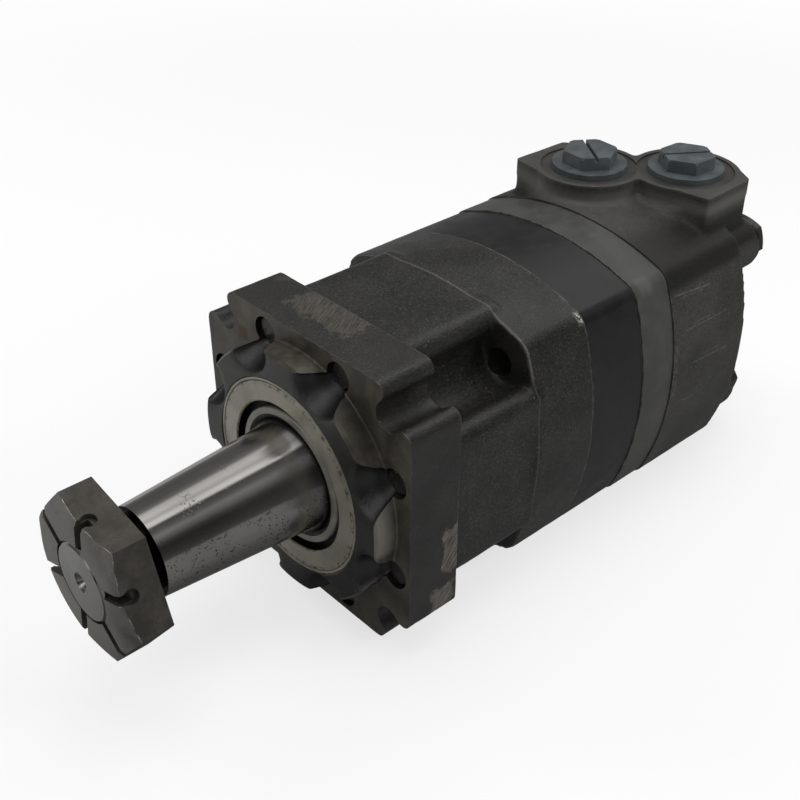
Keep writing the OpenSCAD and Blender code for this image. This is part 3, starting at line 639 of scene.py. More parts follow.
valveCast = castFinish("valveCast", {
    "dark": (0.026, 0.0252, 0.0237), "light": (0.041, 0.0398, 0.0373), "deep": (0.016, 0.0153, 0.014),
    "dust": (0.070, 0.067, 0.061), "bare": (0.105, 0.102, 0.095), "rustShare": 0.10, "stain": 30.0,
    "specular": 0.4, "smooth": 0.36, "rough": 0.54, "relief": 0.16, "dustShare": 0.8,
    "patches": [
        # Painted shade: a darker band over the upper slopes of the block, from z 52 to 70
        {"low": (-300, -80, 52), "high": (-170, 80, 70), "soft": 2.5, "share": 0.9,
         "colour": (0.011, 0.0105, 0.0096)},
        # Painted light: a lighter band round the port boss walls, from z 74 to 80
        {"low": (-300, -80, 74), "high": (-170, 80, 80), "soft": 2.5, "share": 0.8,
         "colour": (0.085, 0.083, 0.077)},
        {"low": (-184, 66, -6), "high": (-180, 80, 24), "soft": 0.8, "share": 0.7, "ragged": 2.4,
         "colour": ground["colour"]},
        # Painted light on the top faces of the port bosses
        {"low": (-300, -80, 83), "high": (-170, 80, 90), "soft": 0.5, "share": 0.6,
         "colour": (0.052, 0.051, 0.047)},
    ],
    # Each from (x, z) to (x, z), with its width and its share
    "scratches": [
        ((-184, 49.3), (-212, 46.5), 0.7, 0.6), ((-190, 47.2), (-206, 45.6), 0.45, 0.45),
        ((-190, 29.2), (-224, 28.6), 0.6, 0.55), ((-196, 31.0), (-214, 30.6), 0.5, 0.5),
        ((-197.6, 8.7), (-226.5, 7.0), 0.6, 0.5), ((-204, 11.0), (-220, 10.2), 0.4, 0.5),
        ((-186, -12.0), (-203, -14.5), 0.5, 0.4),
    ],
})


def metalFinish(name, changes):
    # Turned, ground or oxidised metal: fine lines, stains, and pits of rust
    look = metalLook | changes
    material, tree, inputs, point = newFinish(name, look["metallic"], look["specular"])
    place = point
    if look["rings"] != "none":
        groove = addNode(tree, "ShaderNodeCombineXYZ")
        across = radiusOf(tree, point) if look["rings"] == "face" else axes(tree, point)[0]
        feed(tree, across, groove.inputs[0])
        place = groove.outputs[0]
    lines = noise(tree, place, look["lines"], 3, 0.6)
    stain = span(tree, noise(tree, point, look["stain"], 5, 0.6), 0.35, 0.68)
    colour = blend(tree, stain, look["dark"], look["light"])
    colour = blend(tree, span(tree, lines, 0.35, 0.75, 0.0, look["lineShare"]), colour, look["lineColour"])
    rust = noise(tree, point, look["rustSize"], 6, 0.75)
    rust = span(tree, rust, look["rustFrom"], look["rustFrom"] + 0.06)
    for low, high in look["rims"]:
        rim = within(tree, radiusOf(tree, point), low, high, 0.35)
        spots = span(tree, noise(tree, point, 3.0, 4, 0.7), 0.50, 0.60)
        rust = maths(tree, "MAXIMUM", rust, times(tree, rim, spots))
    colour = blend(tree, times(tree, rust, look["rustShare"]), colour, look["rust"])
    for patch in look["patches"]:
        colour = blend(tree, patchMask(tree, point, patch, 0.3), colour, patch["colour"])
    if "crown" in look:
        # Bright rubbed metal along the border of the crown and the flats
        front, face, slope, share, rubbed = look["crown"]
        x = times(tree, axes(tree, point)[0], 1 / mm)
        cone = maths(tree, "ADD", times(tree, maths(tree, "SUBTRACT", front, x), slope), face)
        gap = maths(tree, "SUBTRACT", cone, times(tree, radiusOf(tree, point), 1 / mm))
        rub = times(tree, span(tree, gap, 0.3, 0.9, share, 0.0),
                    span(tree, noise(tree, point, 6, 4, 0.7), 0.44, 0.62))
        colour = blend(tree, rub, colour, rubbed)
    feed(tree, colour, inputs["Base Color"])
    rough = span(tree, stain, 0, 1, look["smooth"], look["rough"])
    feed(tree, maths(tree, "MAXIMUM", rough, times(tree, rust, 0.6)), inputs["Roughness"])
    fine = relief(tree, lines, look["relief"])
    feed(tree, relief(tree, times(tree, rust, -1.0), 0.05, fine), inputs["Normal"])
    return material


metalLook = {
    "rings": "none", "dark": (0.22, 0.21, 0.195), "light": (0.34, 0.33, 0.31),
    "lineColour": (0.16, 0.15, 0.14), "rust": (0.075, 0.042, 0.025), "metallic": 1.0, "specular": 0.5,
    "smooth": 0.24, "rough": 0.40, "stain": 16.0, "lines": 0.35, "lineShare": 0.35, "rustSize": 3.0,
    "rustFrom": 0.66, "rustShare": 0.7, "relief": 0.004, "rims": [], "patches": [],
}
machinedFace = metalFinish("machinedFace", {
    "rings": "face", "dark": (0.070, 0.064, 0.052), "light": (0.155, 0.142, 0.116),
    "lineColour": (0.05, 0.046, 0.039), "smooth": 0.32, "rough": 0.48, "lines": 0.6, "lineShare": 0.25,
    "rustFrom": 0.62, "metallic": 0.6,
    "patches": [{"low": (-1, -47, 50), "high": (1, -40, 57), "soft": 1.4, "share": 0.75,
                 "colour": (0.085, 0.030, 0.018)},
                # Painted highlight on the right side of the pilot's turned rim
                {"low": (2, 46, -10), "high": (13, 70, 26), "soft": 3.0, "share": 0.4,
                 "colour": (0.46, 0.44, 0.38)}]})
spotFace = metalFinish("spotFace", {
    "dark": (0.040, 0.039, 0.036), "light": (0.062, 0.060, 0.055), "lineColour": (0.035, 0.034, 0.031),
    "metallic": 0.3, "smooth": 0.40, "rough": 0.54, "lines": 0.8, "lineShare": 0.3, "rustFrom": 0.70})
boredSteel = metalFinish("boredSteel", {
    "rings": "side", "dark": (0.06, 0.057, 0.052), "light": (0.10, 0.095, 0.088)})
drilledHole = metalFinish("drilledHole", {
    "rings": "side", "dark": (0.012, 0.011, 0.0095), "light": (0.026, 0.023, 0.020),
    "lineColour": (0.01, 0.009, 0.008),
    "metallic": 0.2, "smooth": 0.4, "rough": 0.6})
blackBand = metalFinish("blackBand", {
    "dark": (0.0085, 0.0086, 0.009), "light": (0.0145, 0.0147, 0.0153),
    "lineColour": (0.007, 0.0071, 0.0075), "metallic": 0.0, "specular": 0.55, "smooth": 0.32,
    "rough": 0.44, "rustFrom": 0.74, "rustShare": 0.3,
    "lines": 0.9, "relief": 0.02})
greyPlate = metalFinish("greyPlate", {
    "dark": (0.046, 0.046, 0.0435), "light": (0.066, 0.066, 0.062), "lineColour": (0.040, 0.040, 0.038),
    "specular": 0.3,
    # Painted highlight on the valve plate's upper corner towards +Y
    "patches": [{"low": (-169, 55, 56), "high": (-160, 64, 64), "soft": 2.0, "share": 0.25,
                 "colour": (0.14, 0.138, 0.128)}],
    "metallic": 0.1, "smooth": 0.36, "rough": 0.48, "rustFrom": 0.72, "rustShare": 0.35,
    "lines": 0.9, "relief": 0.02})
wornBlack = metalFinish("wornBlack", {
    "dark": (0.020, 0.019, 0.018), "light": (0.12, 0.11, 0.095), "lineColour": (0.02, 0.019, 0.018),
    "metallic": 0.3, "smooth": 0.34, "rough": 0.5, "stain": 5.0, "lines": 1.5})
carrierSteel = metalFinish("carrierSteel", {
    "rings": "face", "dark": (0.36, 0.342, 0.282), "light": (0.52, 0.494, 0.414), "smooth": 0.40,
    "rough": 0.52, "lines": 0.7, "lineShare": 0.2, "rustFrom": 0.66, "rustSize": 4.0, "metallic": 0.7,
    "relief": 0.003, "rims": [(46.2, 48.0), (37.6, 38.3)],
    # Painted shade inside the carrier's bore, in the groove round the dust seal
    "patches": [{"low": (0, -40, -40), "high": (11.2, 40, 40), "soft": 0.6, "share": 1.0,
                 "ring": (30, 38.1), "colour": (0.010, 0.009, 0.008)}]})
sealMetal = metalFinish("sealMetal", {
    "rings": "face", "dark": (0.28, 0.27, 0.235), "light": (0.40, 0.385, 0.34), "metallic": 0.6,
    "smooth": 0.36, "rough": 0.5})
nutSteel = metalFinish("nutSteel", {
    "dark": (0.052, 0.048, 0.040), "light": (0.092, 0.085, 0.072), "lineColour": (0.045, 0.041, 0.035),
    "smooth": 0.40, "rough": 0.56, "lines": 1.0, "lineShare": 0.5, "stain": 9.0, "metallic": 0.5,
    "relief": 0.05,
    "rustFrom": 0.60, "rustShare": 0.5, "crown": (118.0, 32.4, 2.304, 0.9, (0.60, 0.585, 0.55))})
nutFace = metalFinish("nutFace", {
    "dark": (0.20, 0.192, 0.178), "light": (0.30, 0.29, 0.27), "lineColour": (0.15, 0.144, 0.132),
    "metallic": 0.8, "smooth": 0.36, "rough": 0.5, "lines": 1.0, "stain": 10.0, "rustFrom": 0.64,
    "relief": 0.02,
    # Painted light: the lower part of the nut's front is painted lighter
    "patches": [{"low": (100, -40, -40), "high": (119, 40, -14), "soft": 8.0, "share": 0.6,
                 "colour": (0.44, 0.43, 0.40)}]})
screwSteel = metalFinish("screwSteel", {
    "dark": (0.008, 0.007, 0.0065), "light": (0.019, 0.017, 0.0155), "lineColour": (0.006, 0.0055, 0.005),
    "metallic": 0.0, "specular": 0.7, "smooth": 0.2, "rough": 0.36, "rustFrom": 0.58, "lines": 1.2,
    "relief": 0.02})
keySteel = metalFinish("keySteel", {})
bearingSteel = metalFinish("bearingSteel", {"rings": "side"})
cageSteel = metalFinish("cageSteel", {"dark": (0.14, 0.13, 0.11), "light": (0.2, 0.19, 0.17)})
gearSteel = metalFinish("gearSteel", {"lines": 0.8})


shaftLook = {
    "dark": (0.49, 0.475, 0.45), "light": (0.60, 0.585, 0.56), "ringColour": (0.34, 0.325, 0.30),
    "pitColour": (0.07, 0.05, 0.035), "pitted": ((10, 4, -34), (104, 42, 8), 8),
    # Start, end, soft border, share and colour of the painted dark reflection on the flare by the seal, of
    # the end face, and of the painted shadow on the thread behind the nut
    "bands": [(5, 14.5, 5, 0.75, (0.07, 0.067, 0.061)), (117.6, 125, 0.3, 1.0, (0.34, 0.335, 0.32)),
              (89.95, 99.5, 0.1, 1.0, (0.012, 0.011, 0.010))],
}


def makeShaftSteel():
    # Ground steel with faint grinding rings, and pitting on the side where oil and water stood
    material, tree, inputs, point = newFinish("shaftSteel", 1.0, 0.5)
    # Ground round and round, so its highlights run long along the axis
    inputs["Anisotropic"].default_value = 0.9
    inputs["Anisotropic Rotation"].default_value = 0.25
    turned = addNode(tree, "ShaderNodeTangent", direction_type="RADIAL", axis="X")
    tree.links.new(turned.outputs[0], inputs["Tangent"])
    along = addNode(tree, "ShaderNodeCombineXYZ")
    feed(tree, axes(tree, point)[0], along.inputs[0])
    rings = noise(tree, along.outputs[0], 0.7, 5, 0.7)
    film = span(tree, noise(tree, point, 16, 4, 0.5, (3, 1, 1)), 0.35, 0.7)
    colour = blend(tree, film, shaftLook["dark"], shaftLook["light"])
    colour = blend(tree, span(tree, rings, 0.45, 0.75, 0, 0.22), colour, shaftLook["ringColour"])
    low = region(tree, point, *shaftLook["pitted"])
    field = span(tree, noise(tree, point, 11, 3, 0.6), 0.38, 0.54)
    spots = span(tree, noise(tree, point, 1.2, 3, 0.65), 0.575, 0.64)
    loose = span(tree, noise(tree, point, 14, 3, 0.6), 0.58, 0.66, 0, 0.6)
    pits = times(tree, spots, maths(tree, "MAXIMUM", times(tree, field, low), loose))
    colour = blend(tree, pits, colour, shaftLook["pitColour"])
    # Painted dark reflection on the flare by the seal and painted shadow on the thread behind the nut, with
    # a darker end face
    for start, end, soft, share, tone in shaftLook["bands"]:
        band = region(tree, point, (start, -60, -60), (end, 60, 60), soft)
        colour = blend(tree, times(tree, band, share), colour, tone)
    feed(tree, colour, inputs["Base Color"])
    rough = maths(tree, "MAXIMUM", span(tree, film, 0, 1, 0.13, 0.22), times(tree, pits, 0.6))
    feed(tree, rough, inputs["Roughness"])
    feed(tree, relief(tree, times(tree, pits, -1.0), 0.04, relief(tree, rings, 0.0012)), inputs["Normal"])
    return material


shaftSteel = makeShaftSteel()


# Finishes of plastic and rubber
mouldedLook = {
    "cloud": 9.0, "scuffShare": 0.5, "specular": 0.4, "smooth": 0.34, "rough": 0.48, "grain": 0.5,
    "relief": 0.02,
}


def mouldedFinish(name, changes):
    look = mouldedLook | changes
    material, tree, inputs, point = newFinish(name, 0.0, look["specular"])
    cloud = span(tree, noise(tree, point, look["cloud"], 4, 0.55), 0.35, 0.7)
    colour = blend(tree, cloud, look["dark"], look["light"])
    scuff = span(tree, noise(tree, point, 1.1, 5, 0.75), 0.60, 0.74, 0.0, look["scuffShare"])
    colour = blend(tree, scuff, colour, look["scuff"])
    feed(tree, colour, inputs["Base Color"])
    feed(tree, span(tree, cloud, 0, 1, look["smooth"], look["rough"]), inputs["Roughness"])
    feed(tree, relief(tree, noise(tree, point, look["grain"], 3, 0.6), look["relief"]), inputs["Normal"])
    return material


plugPlastic = mouldedFinish("plugPlastic", {
    "dark": (0.052, 0.059, 0.062), "light": (0.076, 0.086, 0.090), "scuff": (0.15, 0.16, 0.165),
    "scuffShare": 0.35})
sealRubber = mouldedFinish("sealRubber", {
    "dark": (0.010, 0.010, 0.010), "light": (0.018, 0.018, 0.018), "scuff": (0.05, 0.048, 0.045),
    "cloud": 5.0,
    "scuffShare": 0.3, "specular": 0.35, "smooth": 0.42, "rough": 0.6, "grain": 0.4})
plugEdge = mouldedFinish("plugEdge", {
    "dark": (0.05, 0.056, 0.062), "light": (0.12, 0.13, 0.135), "scuff": (0.2, 0.21, 0.22), "cloud": 4.0})
print("finishes ready")


# Mounting flange: cast plate with open corner slots and a pilot boss with eight dishes
flange = {
    "half": 72.0, "back": -29.0, "spare": 2.5, "slotCircle": 81.0, "slotHalf": 7.37, "tip": 5.0,
    "bossRadius": 66.0, "pilotRadius": 63.5, "pilotHeight": 12.3, "pilotChamfer": 1.4, "rootFillet": 0.6,
    "dishes": [(14.0, 66.0, 14.5), (2.5, 66.5, 9.6)], "dishReach": 64.5, "bore": 49.85,
    "screwCircle": 67.0, "screwHole": 7.3, "screwSeat": -7.8, "shankHole": 4.3,
    "voxel": 1.15, "rounds": 7, "uneven": 0.35, "lump": 9.0,
}


def plateOutline():
    s = flange["slotCircle"] / math.sqrt(2)
    c = flange["half"] - flange["tip"]
    t = c - (flange["slotHalf"] + flange["tip"]) * math.sqrt(2)
    return fourWays(
        arcPoints((c, t), flange["tip"], 0, 135, 10)
        + arcPoints((s, s), flange["slotHalf"], -45, -225, 20)
        + arcPoints((t, c), flange["tip"], -45, 90, 10))


def makeFlange():
    back, circle = flange["back"], flange["screwCircle"]
    piece = addOutlined("mounting_flange_cast", plateOutline(), back - 1.5, flange["spare"])
    combine(piece, addBar("boss", -6, flange["pilotHeight"], flange["bossRadius"], sides=96), "UNION")
    for x, r, size in flange["dishes"]:
        ball = around(addBall("dish", (x, r, 0), size), 8, 22.5)
        combine(ball, addBar("dishLimit", -12, 40, flange["dishReach"], sides=96), "INTERSECT", "MANIFOLD")
        combine(piece, ball, "DIFFERENCE", "MANIFOLD")
    dress(piece, flangeCast)
    castSkin(piece, flange)
    soften(piece, 30, (-4, -wide, -wide), (30, wide, wide), flange["dishReach"])
    r, h, c, f = flange["pilotRadius"], flange["pilotHeight"], flange["pilotChamfer"], flange["rootFillet"]
    face = [(0, 120), (0, r + f), (f, r), (h - c, r), (h + 4, r - c - 4), (h + 9, r - c - 4), (h + 9, 120)]
    cut(piece, addTurned("pilotCut", face), machinedFace)
    faceOff(piece, back - over, back, machinedFace)
    bore = flange["bore"]
    mouth = [(back - past, 0), (back - past, bore), (h - 0.5, bore),
             (h + past, bore + past + 0.5), (h + past, 0)]
    cut(piece, addTurned("boreCut", mouth, ring=False), machinedFace)
    drill(piece, flange["screwSeat"], 30, flange["screwHole"], drilledHole, circle, 8, 22.5, 48)
    drill(piece, back - past, 0, flange["shankHole"], drilledHole, circle, 8, 22.5, 32)
    finishPiece(piece, "housing", "mounting_flange", 42, True)


makeFlange()
print("mounting flange made")


# Flange screws: hexagon heads in the round holes, each turned a little further
screws = {"across": 11.6, "head": 5.8, "shank": 4.0, "depth": 20.0, "step": 17.0, "chamfer": 0.7}


def makeScrews():
    heads = []
    seat = flange["screwSeat"] + 0.02
    top = seat + screws["head"]
    corner = screws["across"] / math.sqrt(3)
    for i in range(8):
        head = addBar("screwHead", seat, top, corner, sides=6, turn=math.radians(screws["step"] * i))
        crown = addTurned("screwCrown", [
            (seat, 0), (seat, corner + 3), (top - 1.0, corner + 0.2),
            (top, corner - screws["chamfer"] - 0.3), (top, 0)], 48, ring=False)
        combine(head, crown, "INTERSECT")
        shank = addBar("shank", body["neckX"] - screws["depth"], seat + 1, screws["shank"], sides=32)
        combine(head, shank, "UNION")
        dress(head, screwSteel)
        roundEdges(head, 0.25, worn=wornBlack)
        head.location = (0, flange["screwCircle"] * mm, 0)
        applyPlace(head)
        head.rotation_euler = (math.radians(22.5 + 45 * i), 0, 0)
        heads.append(applyPlace(head))
    piece = joinAll(heads, "flange_screws_hex")
    finishPiece(piece, "housing", "flange_screws")


makeScrews()
print("flange screws made")


# Bearing housing: cast neck with four flats and corner valleys, and a full shoulder behind it
neck = {
    "half": 70.4, "flat": 33.0, "valley": 56.0, "lip": 7.0, "pocket": 7.2, "pocketDepth": 5.0,
    "boltHole": 5.65, "screwHole": 4.05, "screwDepth": 24.0,
    "voxel": 1.25, "rounds": 6, "uneven": 0.35, "lump": 11.0,
    # Bearing seats and the spaces between them, each from x to x with its radius
    "bores": [(-120, -28, 42), (-49.55, -28, 47.55), (-96, -89.5, 45.5), (-120, -95.45, 50.05),
              (-120, -113, 54.25)],
}


def neckOutline():
    lip, w, d = neck["lip"], neck["flat"], neck["valley"]
    a = neck["half"] - lip
    k = math.sqrt(2) * (a + w)
    r = (lip ** 2 - a ** 2 - w ** 2 - d ** 2 + k * d) / (2 * d - k - 2 * lip)
    v = (d + r) / math.sqrt(2)
    q = math.degrees(math.atan2(v - w, v - a))
    return fourWays(arcPoints((a, w), lip, 0, q, 12) + arcPoints((v, v), r, q - 180, -90 - q, 20)
                    + arcPoints((w, a), lip, 90 - q, 90, 12))


def makeHousing():
    rear, step, front, circle = body["ringX"], body["shoulderX"], body["neckX"], body["boltCircle"]
    piece = addOutlined("bearing_housing_cast", neckOutline(), step - 6, front + 0.4)
    combine(piece, addOutlined("shoulder", bodyOutline(body["reach"]), rear - 3, step), "UNION")
    dress(piece, housingCast)
    castSkin(piece, neck)
    soften(piece, 14, (step - 1.5, -wide, -wide), (step + 9, wide, wide), neck["valley"] + 2)
    drill(piece, step - neck["pocketDepth"], step + 6, neck["pocket"], drilledHole, circle, 4, 45, 48)
    faceOff(piece, rear - over, rear, machinedFace)
    faceOff(piece, front, front + over, machinedFace)
    for x0, x1, r in neck["bores"]:
        drill(piece, x0, x1, r, boredSteel)
    drill(piece, rear - past, step, neck["boltHole"], drilledHole, circle, 4, 45, 32)
    drill(piece, front - neck["screwDepth"], front + past, neck["screwHole"], drilledHole,
          flange["screwCircle"], 8, 22.5, 32)
    finishPiece(piece, "housing", "bearing_housing", 42, True)


makeHousing()
print("bearing housing made")


# Roller ring section and valve plate: plain sections with small chamfers
ring = {
    "name": "geroler_ring_black", "node": "geroler_ring", "slot": "black_section", "finish": blackBand,
    "reach": body["reach"], "rear": body["plateX"], "front": body["ringX"], "bore": 44.8, "chamfer": 0.5,
    "holes": {"r": 8.05, "finish": boredSteel, "circle": 46.0, "count": 9, "sides": 48},
}
plate = {
    "name": "valve_plate_grey", "node": "valve_plate", "slot": "grey_section", "finish": greyPlate,
    "reach": body["plateReach"], "rear": body["blockX"], "front": body["plateX"], "bore": 22.0,
    "chamfer": 0.5,
    "holes": {"r": 3.6, "finish": drilledHole, "circle": 38.0, "count": 9, "start": 20, "sides": 32},
}


def makeSection(section):
    rear, front = section["rear"], section["front"]
    piece = addOutlined(section["name"], bodyOutline(section["reach"]), rear, front)
    dress(piece, section["finish"])
    roundEdges(piece, section["chamfer"], 50, wornBlack)
    drill(piece, rear - past, front + past, section["bore"], boredSteel)
    drill(piece, rear - past, front + past, **section["holes"])
    drill(piece, rear - past, front + past, body["boltHole"], drilledHole, body["boltCircle"], 4, 45, 32)
    finishPiece(piece, "housing", section["node"])


makeSection(ring)
makeSection(plate)
print("ring section and valve plate made")


# Valve housing: square block, round drum, bolt bosses and the port boss with its two lobes
valve = {
    "drum": 49.0, "boss": 15.0, "bossLength": 23.0, "portZ": 84.0, "lobe": 29.0, "spotface": 26.0,
    "spotDepth": 0.8, "port": 15.5, "seat": 17.2, "seatDepth": 3.4, "portA": (-213.0, -19.0, 28.0),
    "portB": (-247.0, 19.0, 5.0), "flare": 2.5, "voxel": 1.3, "rounds": 7, "uneven": 0.35, "lump": 12.0,
    # Valve chamber, balance ring's bore and the drain passage, each from x to x with its radius
    "bores": [(-202.6, -179.5, 45.5), (-215.3, -202, 40.05), (-265, -215, 18)],
}


def lobeBlanks(place, outward):
    x, y, _ = place
    r = valve["lobe"]
    square = [(0, 0), (r - 2.5, 0), (r - 2.5, outward * 8), (r - 6, outward * 32), (-14, outward * 31),
              (-22, outward * 18)]
    blanks = [addPost("lobe", 30, valve["portZ"] + 2, r, x, y, sides=96)]
    blanks.append(addRaised("lobeSide", [(x + a, y + b) for a, b in square], 30, valve["portZ"] + 2))
    blanks.append(addPost("lobeFoot", 30, 73, r + valve["flare"], x, y, sides=96))
    return blanks


def makeValveHousing():
    outline = bodyOutline(body["valveReach"])
    blanks = [addOutlined("valve_housing_cast", outline, body["drumX"], body["blockX"] + 3),
              addBar("drum", body["rearX"], body["drumX"] + 5, valve["drum"], sides=96)]
    boss = addBar("boss", body["drumX"] - valve["bossLength"] - 2, body["drumX"] + 5, valve["boss"],
                  y=body["boltCircle"], sides=64)
    blanks.append(around(boss, 4, 45))
    blanks += lobeBlanks(valve["portA"], -1) + lobeBlanks(valve["portB"], 1)
    piece = joinAll(blanks, "valve_housing_cast")
    dress(piece, valveCast)
    castSkin(piece, valve)
    soften(piece, 20, (-276, -70, 52), (-182, 70, 76))
    rear, front, top = body["rearX"], body["blockX"], valve["portZ"]
    faceOff(piece, rear - over, rear, valveCast)
    faceOff(piece, front, front + over, machinedFace)
    cut(piece, addBlock("topCut", (-300, -wide, top), (-170, wide, top + over)), valveCast)
    seat = body["drumX"] - valve["bossLength"]
    drill(piece, seat - 12, seat, valve["boss"] + 0.5, machinedFace, body["boltCircle"], 4, 45, 64)
    drill(piece, seat - past, front + past, body["boltHole"], drilledHole, body["boltCircle"], 4, 45, 32)
    for x, y, bottom in (valve["portA"], valve["portB"]):
        spotface = addPost("spotface", top - valve["spotDepth"], top + 5, valve["spotface"], x, y, sides=96)
        cut(piece, spotface, spotFace)
        cut(piece, addPost("seat", top - valve["seatDepth"], top + 5, valve["seat"], x, y), spotFace)
        cut(piece, addPost("port", bottom, top + 5, valve["port"], x, y), drilledHole)
    for x0, x1, r in valve["bores"]:
        drill(piece, x0, x1, r, boredSteel)
    cut(piece, addBar("drain", rear - past, rear + 16, 9, z=-28), drilledHole)
    finishPiece(piece, "housing", "valve_housing", 42, True)


makeValveHousing()
print("valve housing made")


# Seal carrier, dust seal and shaft: turned pieces

def makeCarrier():
    profile = [(-31.9, 40), (-31.9, 47.3), (-29, 47.3), (-29, 49.6), (-21.6, 49.6), (-21.6, 47),
               (-18.4, 47), (-18.4, 49.6), (12, 49.6), (12, 48.4), (11, 48.1),
               (12, 47.7), (12, 38.4), (11.4, 37.8), (7, 37.8), (7, 34.6), (3, 34.6), (3, 31.5),
               (-3, 31.5), (-3, 36.2), (-17, 36.2), (-17, 40)]
    piece = addTurned("seal_carrier_turned", profile)
    dress(piece, carrierSteel)
    roundEdges(piece, 0.3, 50)
    finishPiece(piece, "housing", "seal_carrier")


def makeDustSeal():
    case = addTurned("dust_seal_case_pressed", [
        (3.1, 31.6), (3.1, 34.5), (9.6, 34.5), (10.4, 33.9), (10.4, 30.9), (9.6, 30.9), (9.6, 33.4),
        (4.1, 33.6), (4.1, 31.6)])
    roundEdges(case, 0.2, 30)
    dress(case, sealMetal)
    finishPiece(case, "housing", "dust_seal_case")
    lip = addTurned("dust_seal_lip_moulded", [
        (4.2, 31.8), (4.2, 33.5), (9.5, 33.3), (9.5, 30.8), (10.3, 30.8), (10, 29.6), (9.2, 28.65),
        (8.4, 28.65), (7.6, 30.4), (5.4, 31.2)])
    roundEdges(lip, 0.15, 30)
    dress(lip, sealRubber)
    finishPiece(lip, "housing", "dust_seal_lip")


shaft = {
    "flare": [(9.2, 28.5), (10, 28.3), (11, 28.0), (12.2, 27.58), (13.6, 27.12), (15.2, 26.7), (17, 26.37),
              (19, 26.12), (21.4, 25.94)],
    "end": 118.2, "thread": 19.05, "taperX": 14.0, "taper": 26.4, "rate": 0.125, "taperEnd": 90.0,
    "splineTeeth": 12, "spline": (16.35, 20.35, 3.25, 1.95), "cupX": -66.0, "rearX": -112.4,
    "keyX": (34.0, 86.0), "keyHalf": 7.15, "keyFloor": 17.6, "keyAngle": 225.0, "keyHeight": 12.4,
}


def splineOutline():
    root, tip, rootHalf, tipHalf = shaft["spline"]
    points = []
    for i in range(shaft["splineTeeth"]):
        a = 2 * math.pi * i / shaft["splineTeeth"]
        for y, z in ((root, -rootHalf), (tip, -tipHalf), (tip, tipHalf), (root, rootHalf)):
            points.append((y * math.cos(a) - z * math.sin(a), y * math.sin(a) + z * math.cos(a)))
    return points


def makeShaft():
    end, thread = shaft["end"], shaft["thread"]
    small = shaft["taper"] - (shaft["taperEnd"] - shaft["taperX"]) * shaft["rate"] / 2
    profile = [(shaft["rearX"], 0), (shaft["rearX"], 32.5), (-90, 32.5), (-90, 35), (-55, 35), (-55, 30),
               (-17.5, 30), (-16, 28.575)]
    profile += shaft["flare"]
    profile += [(shaft["taperEnd"], small), (shaft["taperEnd"], thread - 1.2),
                (shaft["taperEnd"] + 2, thread - 1.2)]
    pitch = 1.5
    for i in range(17):
        x = shaft["taperEnd"] + 2 + pitch * i
        profile += [(x, thread - 0.9), (x + pitch / 2, thread)]
    profile += [(end - 1.0, thread - 0.4), (end, thread - 1.4), (end, 5), (end - 3.4, 1.6), (end - 9, 1.6),
                (end - 9, 0)]
    piece = addTurned("output_shaft_turned", profile, ring=False)
    dress(piece, shaftSteel)
    roundEdges(piece, 0.2, 60)
    cut(piece, addOutlined("splineCut", splineOutline(), shaft["rearX"] - past, shaft["cupX"]), boredSteel)
    low, high = shaft["keyX"]
    slot = addBlock("keyCut", (low, shaft["keyFloor"], -shaft["keyHalf"]), (high, 40, shaft["keyHalf"]))
    slot.rotation_euler = (math.radians(shaft["keyAngle"]), 0, 0)
    cut(piece, applyPlace(slot), boredSteel)
    finishPiece(piece, "shaft", "output_shaft")
    key = addBlock("shaft_key_steel", (low + 0.05, shaft["keyFloor"] + 0.05, -shaft["keyHalf"] + 0.05),
                   (high - 0.05, shaft["keyFloor"] + 0.05 + shaft["keyHeight"], shaft["keyHalf"] - 0.05))
    key.rotation_euler = (math.radians(shaft["keyAngle"]), 0, 0)
    applyPlace(key)
    dress(key, keySteel)
    roundEdges(key, 0.5)
    finishPiece(key, "shaft", "shaft_key")


makeCarrier()
makeDustSeal()
makeShaft()
print("seal carrier, dust seal and shaft made")


# Slotted nut on the shaft end
nut = {"across": 69.8, "height": 18.9, "phase": 109.5, "slotHalf": 2.4, "slotDepth": 6.6, "eye": 3.5,
       "face": 32.4, "reach": 43.0}


def makeNut():
    back, front = shaft["end"] - nut["height"], shaft["end"] - 0.2
    piece = addBar("shaft_nut_slotted", back, shaft["end"], nut["across"] / math.sqrt(3), sides=6,
                   turn=math.radians(nut["phase"]))
    dress(piece, nutSteel)
    roundEdges(piece, 0.3, 50)
    crown = addTurned("nutCrown", [
        (back - 1, 0), (back - 1, nut["reach"]), (front - 4.6, nut["reach"]), (front, nut["face"]),
        (front, 0)], ring=False)
    dress(crown, nutFace)
    combine(piece, crown, "INTERSECT")
    drill(piece, back - past, front + past, shaft["thread"] + 0.12, boredSteel)
    depth = shaft["end"] - nut["slotDepth"]
    groove = addBlock("slot", (depth, 5, -nut["slotHalf"]), (shaft["end"] + past, 50, nut["slotHalf"]))
    cut(piece, around(groove, 6, nut["phase"] + 30), nutSteel)
    eye = addRound("eye", (depth + 1, 41.4, 0), 18, nut["eye"], 40, (math.pi / 2, 0, 0))
    cut(piece, around(eye, 6, nut["phase"] + 30), nutSteel)
    finishPiece(piece, "shaft", "shaft_nut", 30)


makeNut()
print("nut made")


# Port plugs, tie bolts and the drain plug
plug = {"flange": 20.0, "flangeThick": 3.0, "hex": 15.0, "hexHeight": 10.0, "depth": 18.0, "wall": 3.0,
        "slot": (1.8, 2.5), "phases": {"a": 24.9, "b": 115.9}}


